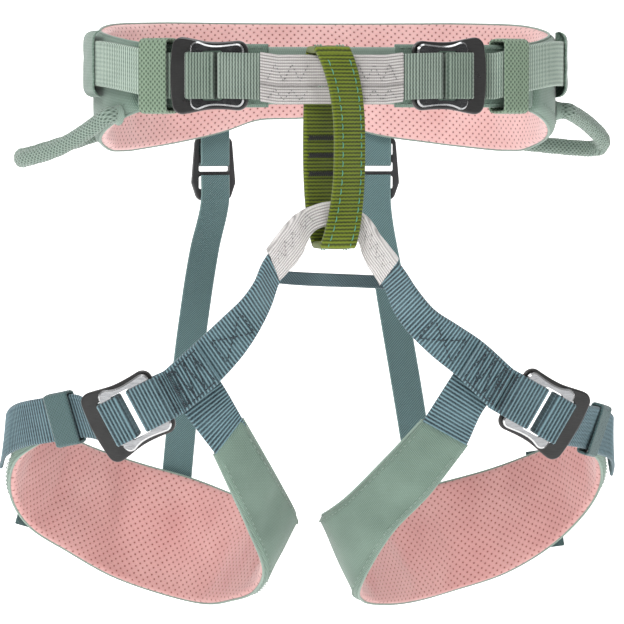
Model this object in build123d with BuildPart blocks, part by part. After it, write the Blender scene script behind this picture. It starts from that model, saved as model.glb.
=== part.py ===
"""Child's climbing harness: a padded waist band with two waist buckles, a tie-in point, a belay
loop and two padded leg loops that hang from elastic risers at the back.

Frame: origin in the centre of the waist opening at the height of the waist webbing, +Z up,
+X to the wearer's left, the front of the harness faces -Y. All sizes are millimetres.
"""

import os
from math import asin, atan2, cos, pi, sin

from build123d import *

os.makedirs("parts", exist_ok=True)

# ---- Driving dimensions ------------------------------------------------------------------------
# Waist band: a four-arc oval, measured on the outside of the shell.
HALF_WIDTH = 104.5
HALF_DEPTH = 74.0
SIDE_RADIUS = 67.0
BAND_TOP = 25.5  # upper edge at the back
HIP_LOW = -33.0  # lower edge at the hips
BACK_LOW = -18.3  # lower edge in the middle of the back
WING_HALF = 13.9  # half height of the front wings
BAND_END = 96.0  # where padded band turns into wing, along the oval from the front centre

# Layers, as distances outward from the outside of the shell.
LINING = (-6.8, -6.0)
FOAM = (-5.85, -1.15)
SHELL = (-1.0, 0.0)
WING = (-3.9, -0.9)
FLAP = (-3.0, -1.6)

# Webbing
WEB_HALF = 10.0  # half of the 20 mm webbing
WEB_THICK = 1.8
TAIL_LEVEL = 1.2  # middle of the inner run of the waist strap
STRAP_LEVEL = 3.3  # middle of the outer run of the waist strap
BUCKLE_LEVEL = 4.6  # back face of the waist buckle frames

# Buckles: local X runs along the strap towards the tie-in side, Y across it, Z outwards.
FRAME_OUTER_X = -18.0
FRAME_INNER_X = 16.6
FRAME_THICK = 2.4
SLIDER_BASE = 2.65
SLIDER_THICK = 2.1
WINDOW_HALF = 10.7
FRAME_WINDOW = (-11.1, 5.9)
SLIDER_WINDOW = (-3.6, 6.1)
FOLD_LEVEL = 5.9  # webbing that lies over the slider

# Places along the waist oval, from the front centre
WAIST_BUCKLE_AT = {1: 43.6, -1: 57.0}
WAIST_KEEPER_AT = {1: 77.5, -1: 83.0}
WAIST_KEEPER_HALF = 7.0  # half of the keeper's length along the strap
KEEPER_REACH = 16.4  # half of its height
KEEPER_WALL = 1.4
SLEEVE_ENDS = {1: 22.5, -1: 35.5}
FLAP_ENDS = {1: 20.5, -1: 31.5}
STRAP_ROOT = 136.0
COVER = (120.0, 140.0)
COVER_LEVELS = (4.7, 6.0)
COVER_TOP = 20.5
COVER_DROP = 9.0
HIP_RISE = 6.0  # the waist straps climb this far from the buckles to the hips
RISE_START = 24.0  # from the buckle's middle
RISE_SPAN = 48.0

# Tie-in: the level of the sleeve's middle and the place of the belay loop
SLEEVE_LEVEL = 9.6
SLEEVE_THICK = 5.0
FRONT_X = -6.0  # the tie-in hangs this far to the wearer's right of the band's middle
BELAY_Y = -(HALF_DEPTH + SLEEVE_LEVEL)

# Belay loop: a tall narrow ring of 16 mm webbing
BELAY_TOP = 12.8
BELAY_BOTTOM = -74.6
BELAY_DEPTH = 18.0
BELAY_WIDTH = 16.0
BELAY_THICK = 3.7
BELAY_SKEW = 8.0  # resting twist about the vertical
BAR_TACK_Z = (-27.0, -34.5, -42.5)

SIDES = {1: "left", -1: "right"}  # the wearer's left is +X

# ---- Waist oval ---------------------------------------------------------------------------------
SIDE_CENTRE = HALF_WIDTH - SIDE_RADIUS
STEP_IN = HALF_DEPTH - SIDE_RADIUS
FLAT_CENTRE = (SIDE_CENTRE**2 - STEP_IN**2) / (2 * STEP_IN)
FLAT_RADIUS = FLAT_CENTRE + HALF_DEPTH
FLAT_ANGLE = atan2(SIDE_CENTRE, FLAT_CENTRE)
FLAT_RUN = FLAT_RADIUS * FLAT_ANGLE
SIDE_ANGLE = pi - 2 * FLAT_ANGLE
SIDE_RUN = SIDE_RADIUS * SIDE_ANGLE
HALF_ROUND = 2 * FLAT_RUN + SIDE_RUN  # from the front centre to the back centre


def oval(run, level, side):
    """Point of the oval `run` mm from the front centre on one side, `level` mm outside the shell."""
    if run < FLAT_RUN:
        turn = run / FLAT_RADIUS
        reach = FLAT_RADIUS + level
        return (side * reach * sin(turn), FLAT_CENTRE - reach * cos(turn))
    if run < FLAT_RUN + SIDE_RUN:
        turn = FLAT_ANGLE + (run - FLAT_RUN) / SIDE_RADIUS
        reach = SIDE_RADIUS + level
        return (side * (SIDE_CENTRE + reach * sin(turn)), -reach * cos(turn))
    turn = (HALF_ROUND - run) / FLAT_RADIUS
    reach = FLAT_RADIUS + level
    return (side * reach * sin(turn), reach * cos(turn) - FLAT_CENTRE)


def oval_turn(run):
    """Angle in radians from the front (-Y) to the outward normal at `run`."""
    if run < FLAT_RUN:
        return run / FLAT_RADIUS
    return FLAT_ANGLE + (run - FLAT_RUN) / SIDE_RADIUS


def oval_arcs(start, end, level, side):
    """Arcs of the oval between two runs, for use inside a BuildLine block."""
    breaks = [r for r in (FLAT_RUN, FLAT_RUN + SIDE_RUN) if min(start, end) < r < max(start, end)]
    if end < start:
        breaks.reverse()
    stops = [start, *breaks, end]
    for first, last in zip(stops, stops[1:]):
        middle = (first + last) / 2
        ThreePointArc(oval(first, level, side), oval(middle, level, side), oval(last, level, side))


def ring_sector(start, end, levels, side):
    """Face between two levels of the oval from one run to another, inside a BuildSketch block."""
    inner, outer = levels
    with BuildLine() as edge:
        oval_arcs(start, end, inner, side)
        Line(oval(end, inner, side), oval(end, outer, side))
        oval_arcs(end, start, outer, side)
        Line(oval(start, outer, side), oval(start, inner, side))
    make_face(edge.edges())


def save(piece, name):
    piece.part.label = name
    export_step(piece.part, f"parts/{name}.step")


# ---- Padded band: lining, foam and shell --------------------------------------------------------
def trim_band_outline():
    """Cuts the band to its side outline: full height at the back, lower towards the wings."""
    with BuildSketch(Plane.YZ) as outline:
        with BuildLine():
            Polyline((-90, WING_HALF), (-46, WING_HALF))
            rise = ((-46, WING_HALF), (-22, 17.6), (4, 20.7), (32, 24), (60, BAND_TOP))
            Spline(*rise, tangents=((1, 0.1), (1, 0)))
            Polyline((60, BAND_TOP), (100, BAND_TOP), (100, HIP_LOW), (30, HIP_LOW))
            Spline((30, HIP_LOW), (-8, -25), (-46, -WING_HALF), tangents=((-1, 0), (-1, 0.15)))
            Polyline((-46, -WING_HALF), (-90, -WING_HALF), (-90, WING_HALF))
        make_face()
    extrude(outline.sketch, amount=HALF_WIDTH + 10, both=True, mode=Mode.INTERSECT)
    with BuildSketch(Plane.XZ.offset(-28)) as arch:
        with BuildLine():
            Polyline((88, HIP_LOW), (88, HIP_LOW - 10), (-88, HIP_LOW - 10), (-88, HIP_LOW))
            Spline(
                (-88, HIP_LOW), (-62, -29), (-38, -23.5), (-26, -19.2), (-8, BACK_LOW),
                (11, BACK_LOW), (26, -24), (58, -29.5), (88, HIP_LOW),
            )
        make_face()
    extrude(arch.sketch, amount=-(HALF_DEPTH + 10 - 28), mode=Mode.SUBTRACT)


for layer_name, layer in (("waist_lining", LINING), ("waist_foam", FOAM), ("waist_shell", SHELL)):
    with BuildPart() as band_layer:
        with BuildSketch(Plane.XY):
            for side in SIDES:
                ring_sector(BAND_END, HALF_ROUND, layer, side)
        extrude(amount=40, both=True)
        trim_band_outline()
    save(band_layer, layer_name)

# ---- Front wings and the flap behind the tie-in -------------------------------------------------
for side, hand in SIDES.items():
    with BuildPart() as wing:
        with BuildSketch(Plane.XY):
            ring_sector(BAND_END - 0.4, FLAP_ENDS[side] + 2, WING, side)
        extrude(amount=WING_HALF - 0.2, both=True)
        fillet(wing.edges().filter_by(Axis.Z).group_by(Axis.Y)[0], radius=0.8)
    save(wing, f"{hand}_wing")

with BuildPart() as flap:
    with BuildSketch(Plane.XY):
        ring_sector(0, FLAP_ENDS[1], FLAP, 1)
        ring_sector(0, FLAP_ENDS[-1], FLAP, -1)
    extrude(amount=WING_HALF - 1.5, both=True)
save(flap, "front_flap")

# ---- Covers over the roots of the waist straps --------------------------------------------------
for side, hand in SIDES.items():
    with BuildPart() as cover:
        with BuildSketch(Plane.XY):
            ring_sector(*COVER, COVER_LEVELS, side)
            ring_sector(COVER[1] - 2.5, COVER[1], (0.15, COVER_LEVELS[0] + 0.3), side)
        extrude(amount=COVER_TOP)
        extrude(cover.faces().sort_by(Axis.Z)[0], amount=COVER_DROP)
    save(cover, f"{hand}_strap_cover")


# ---- Buckles ------------------------------------------------------------------------------------
def buckle_outline(left, right, wide, waist, narrow, bulge, corner):
    """Buckle outline: wide at the adjusting end, waisted on top and bottom, rounded corners."""
    with BuildLine() as edge:
        top = Spline((left, wide), (-2, waist), (right, narrow), tangents=((1, 0), (1, 0.08)))
        bottom = Spline((left, -wide), (-2, -waist), (right, -narrow), tangents=((1, 0), (1, -0.08)))
        Line(top @ 1, bottom @ 1)
        ThreePointArc(top @ 0, (left - bulge, 0), bottom @ 0)
    outline = make_face(edge.edges())
    fillet(outline.vertices(), radius=corner)


def buckle_frame(plane):
    """Rear plate: rounded bar at the adjusting end and one window for the webbing."""
    with BuildPart() as piece:
        with BuildSketch(plane):
            buckle_outline(FRAME_OUTER_X + 1.6, FRAME_INNER_X, 16.9, 14.8, 15.4, 1.6, 4.5)
        extrude(amount=FRAME_THICK)
        rims = piece.edges().group_by(lambda e: round(plane.to_local_coords(e.center()).Z, 1))
        fillet(rims[-1] + rims[0], radius=0.8)
        with BuildSketch(plane.offset(-1)):
            with Locations(((FRAME_WINDOW[0] + FRAME_WINDOW[1]) / 2, 0)):
                RectangleRounded(FRAME_WINDOW[1] - FRAME_WINDOW[0], 2 * WINDOW_HALF, 1.6)
        extrude(amount=FRAME_THICK + 2, mode=Mode.SUBTRACT)
    return piece


def buckle_slider(plane):
    """Front plate: a polished rectangular ring whose outer bar carries the strap."""
    with BuildPart() as piece:
        with BuildSketch(plane.offset(SLIDER_BASE)):
            buckle_outline(-8.4, 15.4, 15.3, 13.6, 14.0, 0.3, 3.2)
        extrude(amount=SLIDER_THICK)
        rims = piece.edges().group_by(lambda e: round(plane.to_local_coords(e.center()).Z, 1))
        chamfer(rims[-1], length=0.7)
        with BuildSketch(plane.offset(SLIDER_BASE - 1)):
            with Locations(((SLIDER_WINDOW[0] + SLIDER_WINDOW[1]) / 2, 0)):
                RectangleRounded(SLIDER_WINDOW[1] - SLIDER_WINDOW[0], 2 * WINDOW_HALF, 1.4)
        extrude(amount=SLIDER_THICK + 2, mode=Mode.SUBTRACT)
    return piece


def webbing_run(points, radius):
    """Constant-thickness webbing seen edge-on along a route, inside a BuildSketch block."""
    with BuildLine(mode=Mode.PRIVATE) as route:
        FilletPolyline(*points, radius=radius)
    trace(route.line, line_width=WEB_THICK)


# Route of the strap over the slider, in the buckle's X and Z: in behind the frame's outer bar,
# up through the window, over the slider's outer bar, down and back out underneath.
FOLD_ROUTE = [(-9.9, -1.3), (-9.9, FOLD_LEVEL), (1.6, FOLD_LEVEL), (1.6, -3.4)]
LEG_FOLD_ROUTE = [(-9.9, -1.3), (-9.9, FOLD_LEVEL), (-0.9, FOLD_LEVEL), (-0.9, -3.4)]
# Route of the tie-in webbing round the inner bars of both plates.
LOOP_ROUTE = [(4.6, FOLD_LEVEL), (4.6, -1.3)]


def buckle_plane_at(run, side):
    """Plane of a waist buckle: origin on its back face, X towards the front centre."""
    turn = oval_turn(run)
    x, y = oval(run, BUCKLE_LEVEL, side)
    inward = (-side * cos(turn), -sin(turn), 0)
    outward = (side * sin(turn), -cos(turn), 0)
    return Plane(origin=(x, y, 0), x_dir=inward, z_dir=outward)


def in_buckle(plane, x, z):
    """World XY point of a place in a waist buckle's own X and Z."""
    spot = plane.from_local_coords((x, 0, z))
    return (spot.X, spot.Y)


# ---- Ribbons: straps and pads given by their two edges ------------------------------------------
def ribbon(edges, thickness, level=0.0, side=1, first=0, ruled=False):
    """Band through stations, each a pair of points on its upper and lower edge.

    `level` moves the band along its outward normal; it starts at station `first`.
    """
    middles = [(Vector(*a) + Vector(*b)) / 2 for a, b in edges]
    last = len(edges) - 1
    sections = []
    for i, (upper, lower) in enumerate(edges):
        across = Vector(*upper) - Vector(*lower)
        along = middles[min(i + 1, last)] - middles[max(i - 1, 0)]
        along = along - across * (along.dot(across) / across.length**2)
        outward = across.cross(along).normalized() * side
        place = Plane(origin=middles[i] + outward * level, x_dir=across, z_dir=along)
        with BuildSketch(place) as section:
            Rectangle(across.length, thickness)
        sections.append(section.sketch)
    loft(sections[first:], ruled=ruled)


def strap_edges(buckle_run, stop, level, side, count=14):
    """Upper and lower edge of a waist strap, which climbs from its buckle towards the hip."""
    start = buckle_run + RISE_START
    edges = []
    for i in range(count + 1):
        run = start + (stop - start) * i / count
        rise = HIP_RISE * sin(pi / 2 * min((run - start) / RISE_SPAN, 1))
        x, y = oval(run, level, side)
        edges.append(((x, y, rise + WEB_HALF), (x, y, rise - WEB_HALF)))
    return edges


# ---- Waist straps, sleeve webbing, buckles and keepers ------------------------------------------
for side, hand in SIDES.items():
    run = WAIST_BUCKLE_AT[side]
    plane = buckle_plane_at(run, side)
    save(buckle_frame(plane), f"{hand}_waist_buckle_frame")
    save(buckle_slider(plane), f"{hand}_waist_buckle_slider")

    with BuildPart() as strap:
        with BuildSketch(Plane.XY):
            half = WEB_THICK / 2
            ring_sector(run + 21, run + RISE_START + 1, (STRAP_LEVEL - half, STRAP_LEVEL + half), side)
            ring_sector(run + 20, run + RISE_START + 1, (TAIL_LEVEL - half, TAIL_LEVEL + half), side)
            outer_join = oval(run + 22, STRAP_LEVEL, side)
            inner_join = oval(run + 21, TAIL_LEVEL, side)
            fold = [in_buckle(plane, x, z) for x, z in FOLD_ROUTE]
            webbing_run([outer_join, *fold, inner_join], radius=1.1)
        extrude(amount=WEB_HALF, both=True)
        ribbon(strap_edges(run, STRAP_ROOT, STRAP_LEVEL, side), WEB_THICK, ruled=True)
        ribbon(strap_edges(run, STRAP_ROOT - 18, TAIL_LEVEL, side), WEB_THICK, ruled=True)
    save(strap, f"{hand}_waist_strap")

    at = WAIST_KEEPER_AT[side]
    with BuildPart() as keeper:
        with BuildSketch(Plane.XY):
            start, stop = at - WAIST_KEEPER_HALF, at + WAIST_KEEPER_HALF
            ring_sector(start, stop, (WING[0] - 1.4, STRAP_LEVEL + 2.3), side)
        extrude(amount=KEEPER_REACH, both=True)
        with BuildSketch(Plane.XY):
            ring_sector(start - 1, stop + 1, (WING[0] - 0.45, STRAP_LEVEL + 1.35), side)
        extrude(amount=KEEPER_REACH - KEEPER_WALL, both=True, mode=Mode.SUBTRACT)
    save(keeper, f"{hand}_waist_keeper")

# ---- Tie-in webbing and its sleeve --------------------------------------------------------------
def clear_belay_top():
    """Lowers the upper edge of the tie-in where the belay loop passes over it."""
    with BuildSketch(Plane.XY.offset(BELAY_TOP - BELAY_THICK - 0.4)) as gap:
        with Locations((FRONT_X, BELAY_Y)):
            Rectangle(BELAY_WIDTH + 7, 30)
    extrude(gap.sketch, amount=10, mode=Mode.SUBTRACT)


PLY_GAP = 1.0  # each ply of the tie-in webbing lies this far from the sleeve's middle
with BuildPart() as tie_in:
    with BuildSketch(Plane.XY):
        half = WEB_THICK / 2
        for ply in (-1, 1):
            level = SLEEVE_LEVEL + ply * PLY_GAP
            for side in SIDES:
                ring_sector(0, SLEEVE_ENDS[side] + 1, (level - half, level + half), side)
        for side in SIDES:
            plane = buckle_plane_at(WAIST_BUCKLE_AT[side], side)
            near = SLEEVE_ENDS[side] + 0.8
            front = [oval(near, SLEEVE_LEVEL + PLY_GAP, side), in_buckle(plane, 16, FOLD_LEVEL)]
            back = [in_buckle(plane, 17.2, -1.3), oval(near, SLEEVE_LEVEL - PLY_GAP, side)]
            loop = [in_buckle(plane, x, z) for x, z in LOOP_ROUTE]
            webbing_run([*front, *loop, *back], radius=0.9)
    extrude(amount=WEB_HALF, both=True)
    clear_belay_top()
save(tie_in, "tie_in_webbing")

with BuildPart() as sleeve:
    with BuildSketch(Plane.XY):
        thick = SLEEVE_THICK / 2
        for side in SIDES:
            ring_sector(0, SLEEVE_ENDS[side], (SLEEVE_LEVEL - thick, SLEEVE_LEVEL + thick), side)
    extrude(amount=11.4, both=True)
    with BuildSketch(Plane.XY):
        thick = SLEEVE_THICK / 2 - 0.6
        for side in SIDES:
            ring_sector(0, SLEEVE_ENDS[side] + 1, (SLEEVE_LEVEL - thick, SLEEVE_LEVEL + thick), side)
    extrude(amount=10.3, both=True, mode=Mode.SUBTRACT)
    clear_belay_top()
save(sleeve, "tie_in_sleeve")

# ---- Belay loop ---------------------------------------------------------------------------------
belay_mid = (BELAY_TOP + BELAY_BOTTOM) / 2
belay_plane = Plane(
    origin=(FRONT_X, BELAY_Y, belay_mid),
    x_dir=(0, 0, 1),
    z_dir=(1, 0, 0),
).rotated((0, 0, BELAY_SKEW))
belay_plane.origin = (FRONT_X, BELAY_Y, belay_mid)
with BuildPart() as belay:
    with BuildSketch(belay_plane):
        height = BELAY_TOP - BELAY_BOTTOM
        inner_height, inner_depth = height - 2 * BELAY_THICK, BELAY_DEPTH - 2 * BELAY_THICK
        RectangleRounded(height, BELAY_DEPTH, BELAY_THICK + 1)
        RectangleRounded(inner_height, inner_depth, 1, mode=Mode.SUBTRACT)
    extrude(amount=BELAY_WIDTH / 2, both=True)
save(belay, "belay_loop")

# Three bar tacks stand proud on the back strand of the belay loop.
with BuildPart() as bar_tacks:
    for height in BAR_TACK_Z:
        local = belay_plane.offset(0)
        local.origin = (FRONT_X, BELAY_Y, height)
        with BuildSketch(local):
            with Locations((0, BELAY_DEPTH / 2 + 0.4), (0, -BELAY_DEPTH / 2 - 0.4)):
                Rectangle(2.2, 0.7)
        extrude(amount=BELAY_WIDTH / 2 - 1.5, both=True)
save(bar_tacks, "belay_bar_tacks")


# ---- Leg bridge through the belay loop ----------------------------------------------------------
BRIDGE = [
    ((-35, -84, -75), (-29, -76, -88)),
    ((-28, -86, -65), (-21, -79, -79)),
    ((-18, -85.2, -57), (-14.5, -82.2, -66.5)),
    ((-10, -84.6, -54.5), (-9, -83.0, -64.5)),
    ((-2, -84.6, -54.5), (-3, -83.0, -64.5)),
    ((6, -85.2, -59), (2.5, -82.2, -68)),
    ((14, -86, -69), (9, -79, -81)),
    ((22, -84, -79), (15, -76, -90)),
]
with BuildPart() as bridge:
    ribbon(BRIDGE, 4.4)
save(bridge, "leg_bridge_sleeve")

# The cross strap runs behind both leg webbings.
CROSS_STRAP = [
    ((-33, -64.6, -84), (-32.6, -64.6, -89.6)),
    ((-24, -69.6, -84.6), (-23.4, -69.6, -90.4)),
    ((8, -69.6, -86.2), (9, -69.6, -92)),
    ((20, -64.6, -87), (20.6, -64.6, -92.8)),
]
with BuildPart() as cross_strap:
    ribbon(CROSS_STRAP, 1.6)
save(cross_strap, "leg_cross_strap")

# ---- Leg loops ----------------------------------------------------------------------------------
# Leg webbing from the bridge down to the buckle loop, upper and lower edge.
LEG_WEBBING = {
    1: [
        ((24.2, -84, -84.5), (16.7, -71, -92.5)),
        ((30, -82, -92), (22, -70, -102)),
        ((38, -79, -101), (29, -70, -112)),
        ((49, -75, -108), (39, -70, -122)),
        ((60, -71, -115), (50, -70, -131)),
    ],
    -1: [
        ((-37, -84, -81), (-31, -71, -91)),
        ((-40, -82, -89), (-32.5, -70, -100)),
        ((-45, -79, -96), (-36, -70, -108)),
        ((-53, -75, -104), (-42, -70, -118)),
        ((-65, -71, -115.5), (-54, -70, -132)),
    ],
}
PATCH_SHIFT = 2.9
ARM_WEBBING = {
    1: [
        ((52.5, -64.3, -124.5), (71, -62.8, -136.5)),
        ((46, -65.8, -134), (63, -64.3, -145)),
        ((37, -62.5, -149), (56.3, -60.5, -160)),
    ],
    -1: [
        ((-57.5, -64.3, -126), (-76, -62.8, -137.5)),
        ((-51.5, -65.8, -135.5), (-68, -64.3, -148)),
        ((-44.5, -62.5, -147.5), (-56.5, -60.5, -163)),
    ],
}
# Padded band of each leg loop from the front of the inner thigh round the back to the outside.
LEG_PAD = {
    1: [
        ((36, -62, -150), (56, -60, -161)),
        ((21, -52, -168), (40, -55, -183)),
        ((6, -38, -186), (24, -42, -203)),
        ((-3, -20, -196), (14, -18, -229)),
        ((2, 2, -197), (18, 4, -238)),
        ((18, 28, -196), (33, 28, -243)),
        ((40, 48, -194), (50, 48, -244)),
        ((64, 59, -190), (68, 59, -241)),
        ((86, 58, -184), (92, 57, -233)),
        ((104, 48, -176), (112, 46, -219)),
        ((117, 32, -168), (125, 30, -202)),
        ((125, 13, -160), (129, 12, -187)),
        ((124.5, -6, -156), (125, -6, -175)),
        ((117.5, -22, -154), (117, -22, -168)),
    ],
    -1: [
        ((-44, -62, -148.5), (-56, -60, -164)),
        ((-33, -52, -167), (-49, -56, -179)),
        ((-24, -38, -182), (-40, -45, -198)),
        ((-16.5, -21, -195), (-31, -26, -220)),
        ((-16, -3, -199), (-33, -4, -232)),
        ((-22, 20, -198), (-41, 20, -239)),
        ((-36, 42, -194), (-52, 41, -243)),
        ((-56, 57, -187), (-71, 56, -240)),
        ((-80, 60, -180), (-93, 58, -232)),
        ((-101, 50, -172), (-114, 48, -219)),
        ((-118, 35, -163), (-133, 33, -205)),
        ((-130, 15, -154), (-142, 13, -187)),
        ((-133.5, -5, -147), (-139.5, -6, -171)),
        ((-127, -21, -143), (-128, -21, -161)),
    ],
}
# Strap from the leg buckle round the outside of the thigh, where it is sewn on the pad.
LEG_STRAP = {
    1: [
        ((116, -44, -146.5), (107.5, -44, -164.5)),
        ((125.6, -21.5, -150.5), (121.8, -21.5, -170)),
        ((130.6, -8, -153.5), (129.6, -8, -173.5)),
        ((132.4, 5, -158), (133.7, 5, -178)),
        ((132.2, 18, -164), (135.8, 18, -184)),
    ],
    -1: [
        ((-114, -46.5, -139.5), (-107.5, -46.5, -158.5)),
        ((-131, -31, -142), (-127, -31, -161.5)),
        ((-140, -17, -145), (-137.5, -17, -165)),
        ((-143.5, -2, -150), (-144.5, -2, -170)),
        ((-142, 14, -157.5), (-146.5, 14, -177)),
    ],
}
LEG_BUCKLE = {1: (88.5, -63.5, -147.0), -1: (-92.5, -62.0, -146.5)}
LEG_BUCKLE_X = {1: (-0.862, -0.155, 0.483), -1: (0.86, -0.22, 0.46)}
LEG_BUCKLE_Z = {1: (0.12, -0.985, -0.12), -1: (-0.24, -0.965, -0.10)}
PLY_SPREAD = 0.95  # each ply of the leg tie webbing from the middle of the leg webbing
LEG_END_LEVEL = 2.3  # the leg webbing's level where it meets the buckle's tie webbing
TAB_STATION = {1: 9, -1: 10}  # pad station that carries the cross tab
TAB_LEVEL = 3.6  # middle of the tab from the middle of the pad
TAB_WIDTH = 11.0
LEG_KEEPER_HALF = 6.5


def buckle_edges(plane, x, z, side):
    """Upper and lower edge of 20 mm webbing at a place in a leg buckle's own X and Z."""
    corners = (plane.from_local_coords((x, -side * y, z)) for y in (WEB_HALF, -WEB_HALF))
    return tuple((corner.X, corner.Y, corner.Z) for corner in corners)


for side, hand in SIDES.items():
    plane = Plane(origin=LEG_BUCKLE[side], x_dir=LEG_BUCKLE_X[side], z_dir=LEG_BUCKLE_Z[side])
    edge_on = Plane(origin=plane.origin, x_dir=plane.x_dir, z_dir=-plane.y_dir)
    webbing_edges = [*LEG_WEBBING[side], buckle_edges(plane, 24.8, LEG_END_LEVEL, side)]

    with BuildPart() as leg_webbing:
        ribbon(webbing_edges, 3.2)
    save(leg_webbing, f"{hand}_leg_webbing")

    with BuildPart() as patch:
        ribbon(webbing_edges, WEB_THICK, level=-PATCH_SHIFT, side=side, first=4)
    save(patch, f"{hand}_leg_patch")

    with BuildPart() as arm_webbing:
        ribbon(ARM_WEBBING[side], WEB_THICK, ruled=True)
    save(arm_webbing, f"{hand}_leg_arm_webbing")

    for layer_name, level, thick in (("lining", -2.3, 0.8), ("foam", 0, 3.4), ("shell", 2.3, 0.8)):
        with BuildPart() as pad_layer:
            ribbon(LEG_PAD[side], thick, level=level, side=side, ruled=True)
        save(pad_layer, f"{hand}_leg_{layer_name}")

    save(buckle_frame(plane), f"{hand}_leg_buckle_frame")
    save(buckle_slider(plane), f"{hand}_leg_buckle_slider")

    # Two plies from the leg webbing round the inner bars of both buckle plates.
    with BuildPart() as leg_tie:
        with BuildSketch(edge_on):
            upper_ply, lower_ply = LEG_END_LEVEL + PLY_SPREAD, LEG_END_LEVEL - PLY_SPREAD
            front = [(23.4, upper_ply), (21, upper_ply), (17, FOLD_LEVEL)]
            back = [(17.8, -1.3), (21, lower_ply), (23.4, lower_ply)]
            webbing_run([*front, *LOOP_ROUTE, *back], radius=0.9)
        extrude(amount=WEB_HALF, both=True)
    save(leg_tie, f"{hand}_leg_tie_webbing")

    # The strap folds over the slider's outer bar and ends in a short tail under itself.
    with BuildPart() as leg_strap:
        with BuildSketch(edge_on):
            webbing_run([(-15, -1.3), *LEG_FOLD_ROUTE, (-16, -3.4)], radius=1.1)
        extrude(amount=WEB_HALF, both=True)
        ribbon([buckle_edges(plane, -13.5, -1.3, side), *LEG_STRAP[side]], WEB_THICK, ruled=True)
    save(leg_strap, f"{hand}_leg_strap")

    near, far = LEG_STRAP[side][0], LEG_STRAP[side][1]
    middles = [(Vector(*a) + Vector(*b)) / 2 for a, b in (near, far)]
    across = Vector(*near[0]) - Vector(*near[1]) + Vector(*far[0]) - Vector(*far[1])
    along = middles[1] - middles[0]
    along = along - across * (along.dot(across) / across.length**2)
    with BuildPart() as leg_keeper:
        place = Plane(origin=(middles[0] + middles[1]) / 2, x_dir=across, z_dir=along)
        with BuildSketch(place):
            RectangleRounded(23.4, 5.2, 1.2)
            RectangleRounded(21.4, 3.2, 0.4, mode=Mode.SUBTRACT)
        extrude(amount=LEG_KEEPER_HALF, both=True)
    save(leg_keeper, f"{hand}_leg_keeper")

    # Elastic tab across the back of the pad, sewn down at both ends.
    station = TAB_STATION[side]
    upper, lower = (Vector(*p) for p in LEG_PAD[side][station])
    before, after = (
        (Vector(*a) + Vector(*b)) / 2 for a, b in LEG_PAD[side][station - 1 : station + 2 : 2]
    )
    across = upper - lower
    along = after - before
    along = along - across * (along.dot(across) / across.length**2)
    outward = across.cross(along).normalized() * side
    with BuildPart() as tab:
        middle = (upper + lower) / 2 + outward * TAB_LEVEL
        with BuildSketch(Plane(origin=middle, x_dir=across, z_dir=outward)):
            RectangleRounded(across.length + 3, TAB_WIDTH, 1)
        extrude(amount=0.6, both=True)
    save(tab, f"{hand}_leg_cross_tab")

# ---- Elastic risers between the back of the band and the leg pads -------------------------------
RISER_HALF = 7.0
RISER_X = {1: 32.4, -1: -43.5}
ADJUSTER_Z = -42.0
ADJUSTER_HEIGHT = 30.0
ADJUSTER_WIDTH = 20.4
ADJUSTER_THICK = 3.0
# Outline as shares of the half width and half height: it widens to a shoulder below the middle bar.
ADJUSTER_OUTLINE = (
    (-0.88, 1), (0.88, 1), (1.06, -0.45), (0.78, -1), (-0.78, -1), (-1.06, -0.45),
)
ADJUSTER_SLOTS = ((6.2, 11.8), (-1.4, 3.0), (-9.5, -3.6))  # low and high edge of each slot
ADJUSTER_SLOT_WIDTH = 15.4
RISER_LEVEL = 1.2  # the run of the risers next to the shell
# Centre of the lower riser below the adjuster, and its turn about the vertical in radians.
LOWER_RISER = {
    1: [((38, 70, -92), 0.1), ((49.5, 64, -165), 0.0), ((55, 62.8, -203), -0.3)],
    -1: [
        ((-48.8, 70.6, -80), -0.12),
        ((-54.3, 69, -114), -0.05),
        ((-61.5, 64.5, -175), 0.1),
        ((-64, 64, -203), 0.1),
    ],
}


def riser_plane(side):
    """Plane on the outside of the shell at a riser: X along the band, Z outwards."""
    turn = asin(RISER_X[side] / FLAT_RADIUS)
    x = FLAT_RADIUS * sin(turn)
    y = FLAT_RADIUS * cos(turn) - FLAT_CENTRE
    return Plane(origin=(x, y, 0), x_dir=(-cos(turn), sin(turn), 0), z_dir=(sin(turn), cos(turn), 0))


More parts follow.
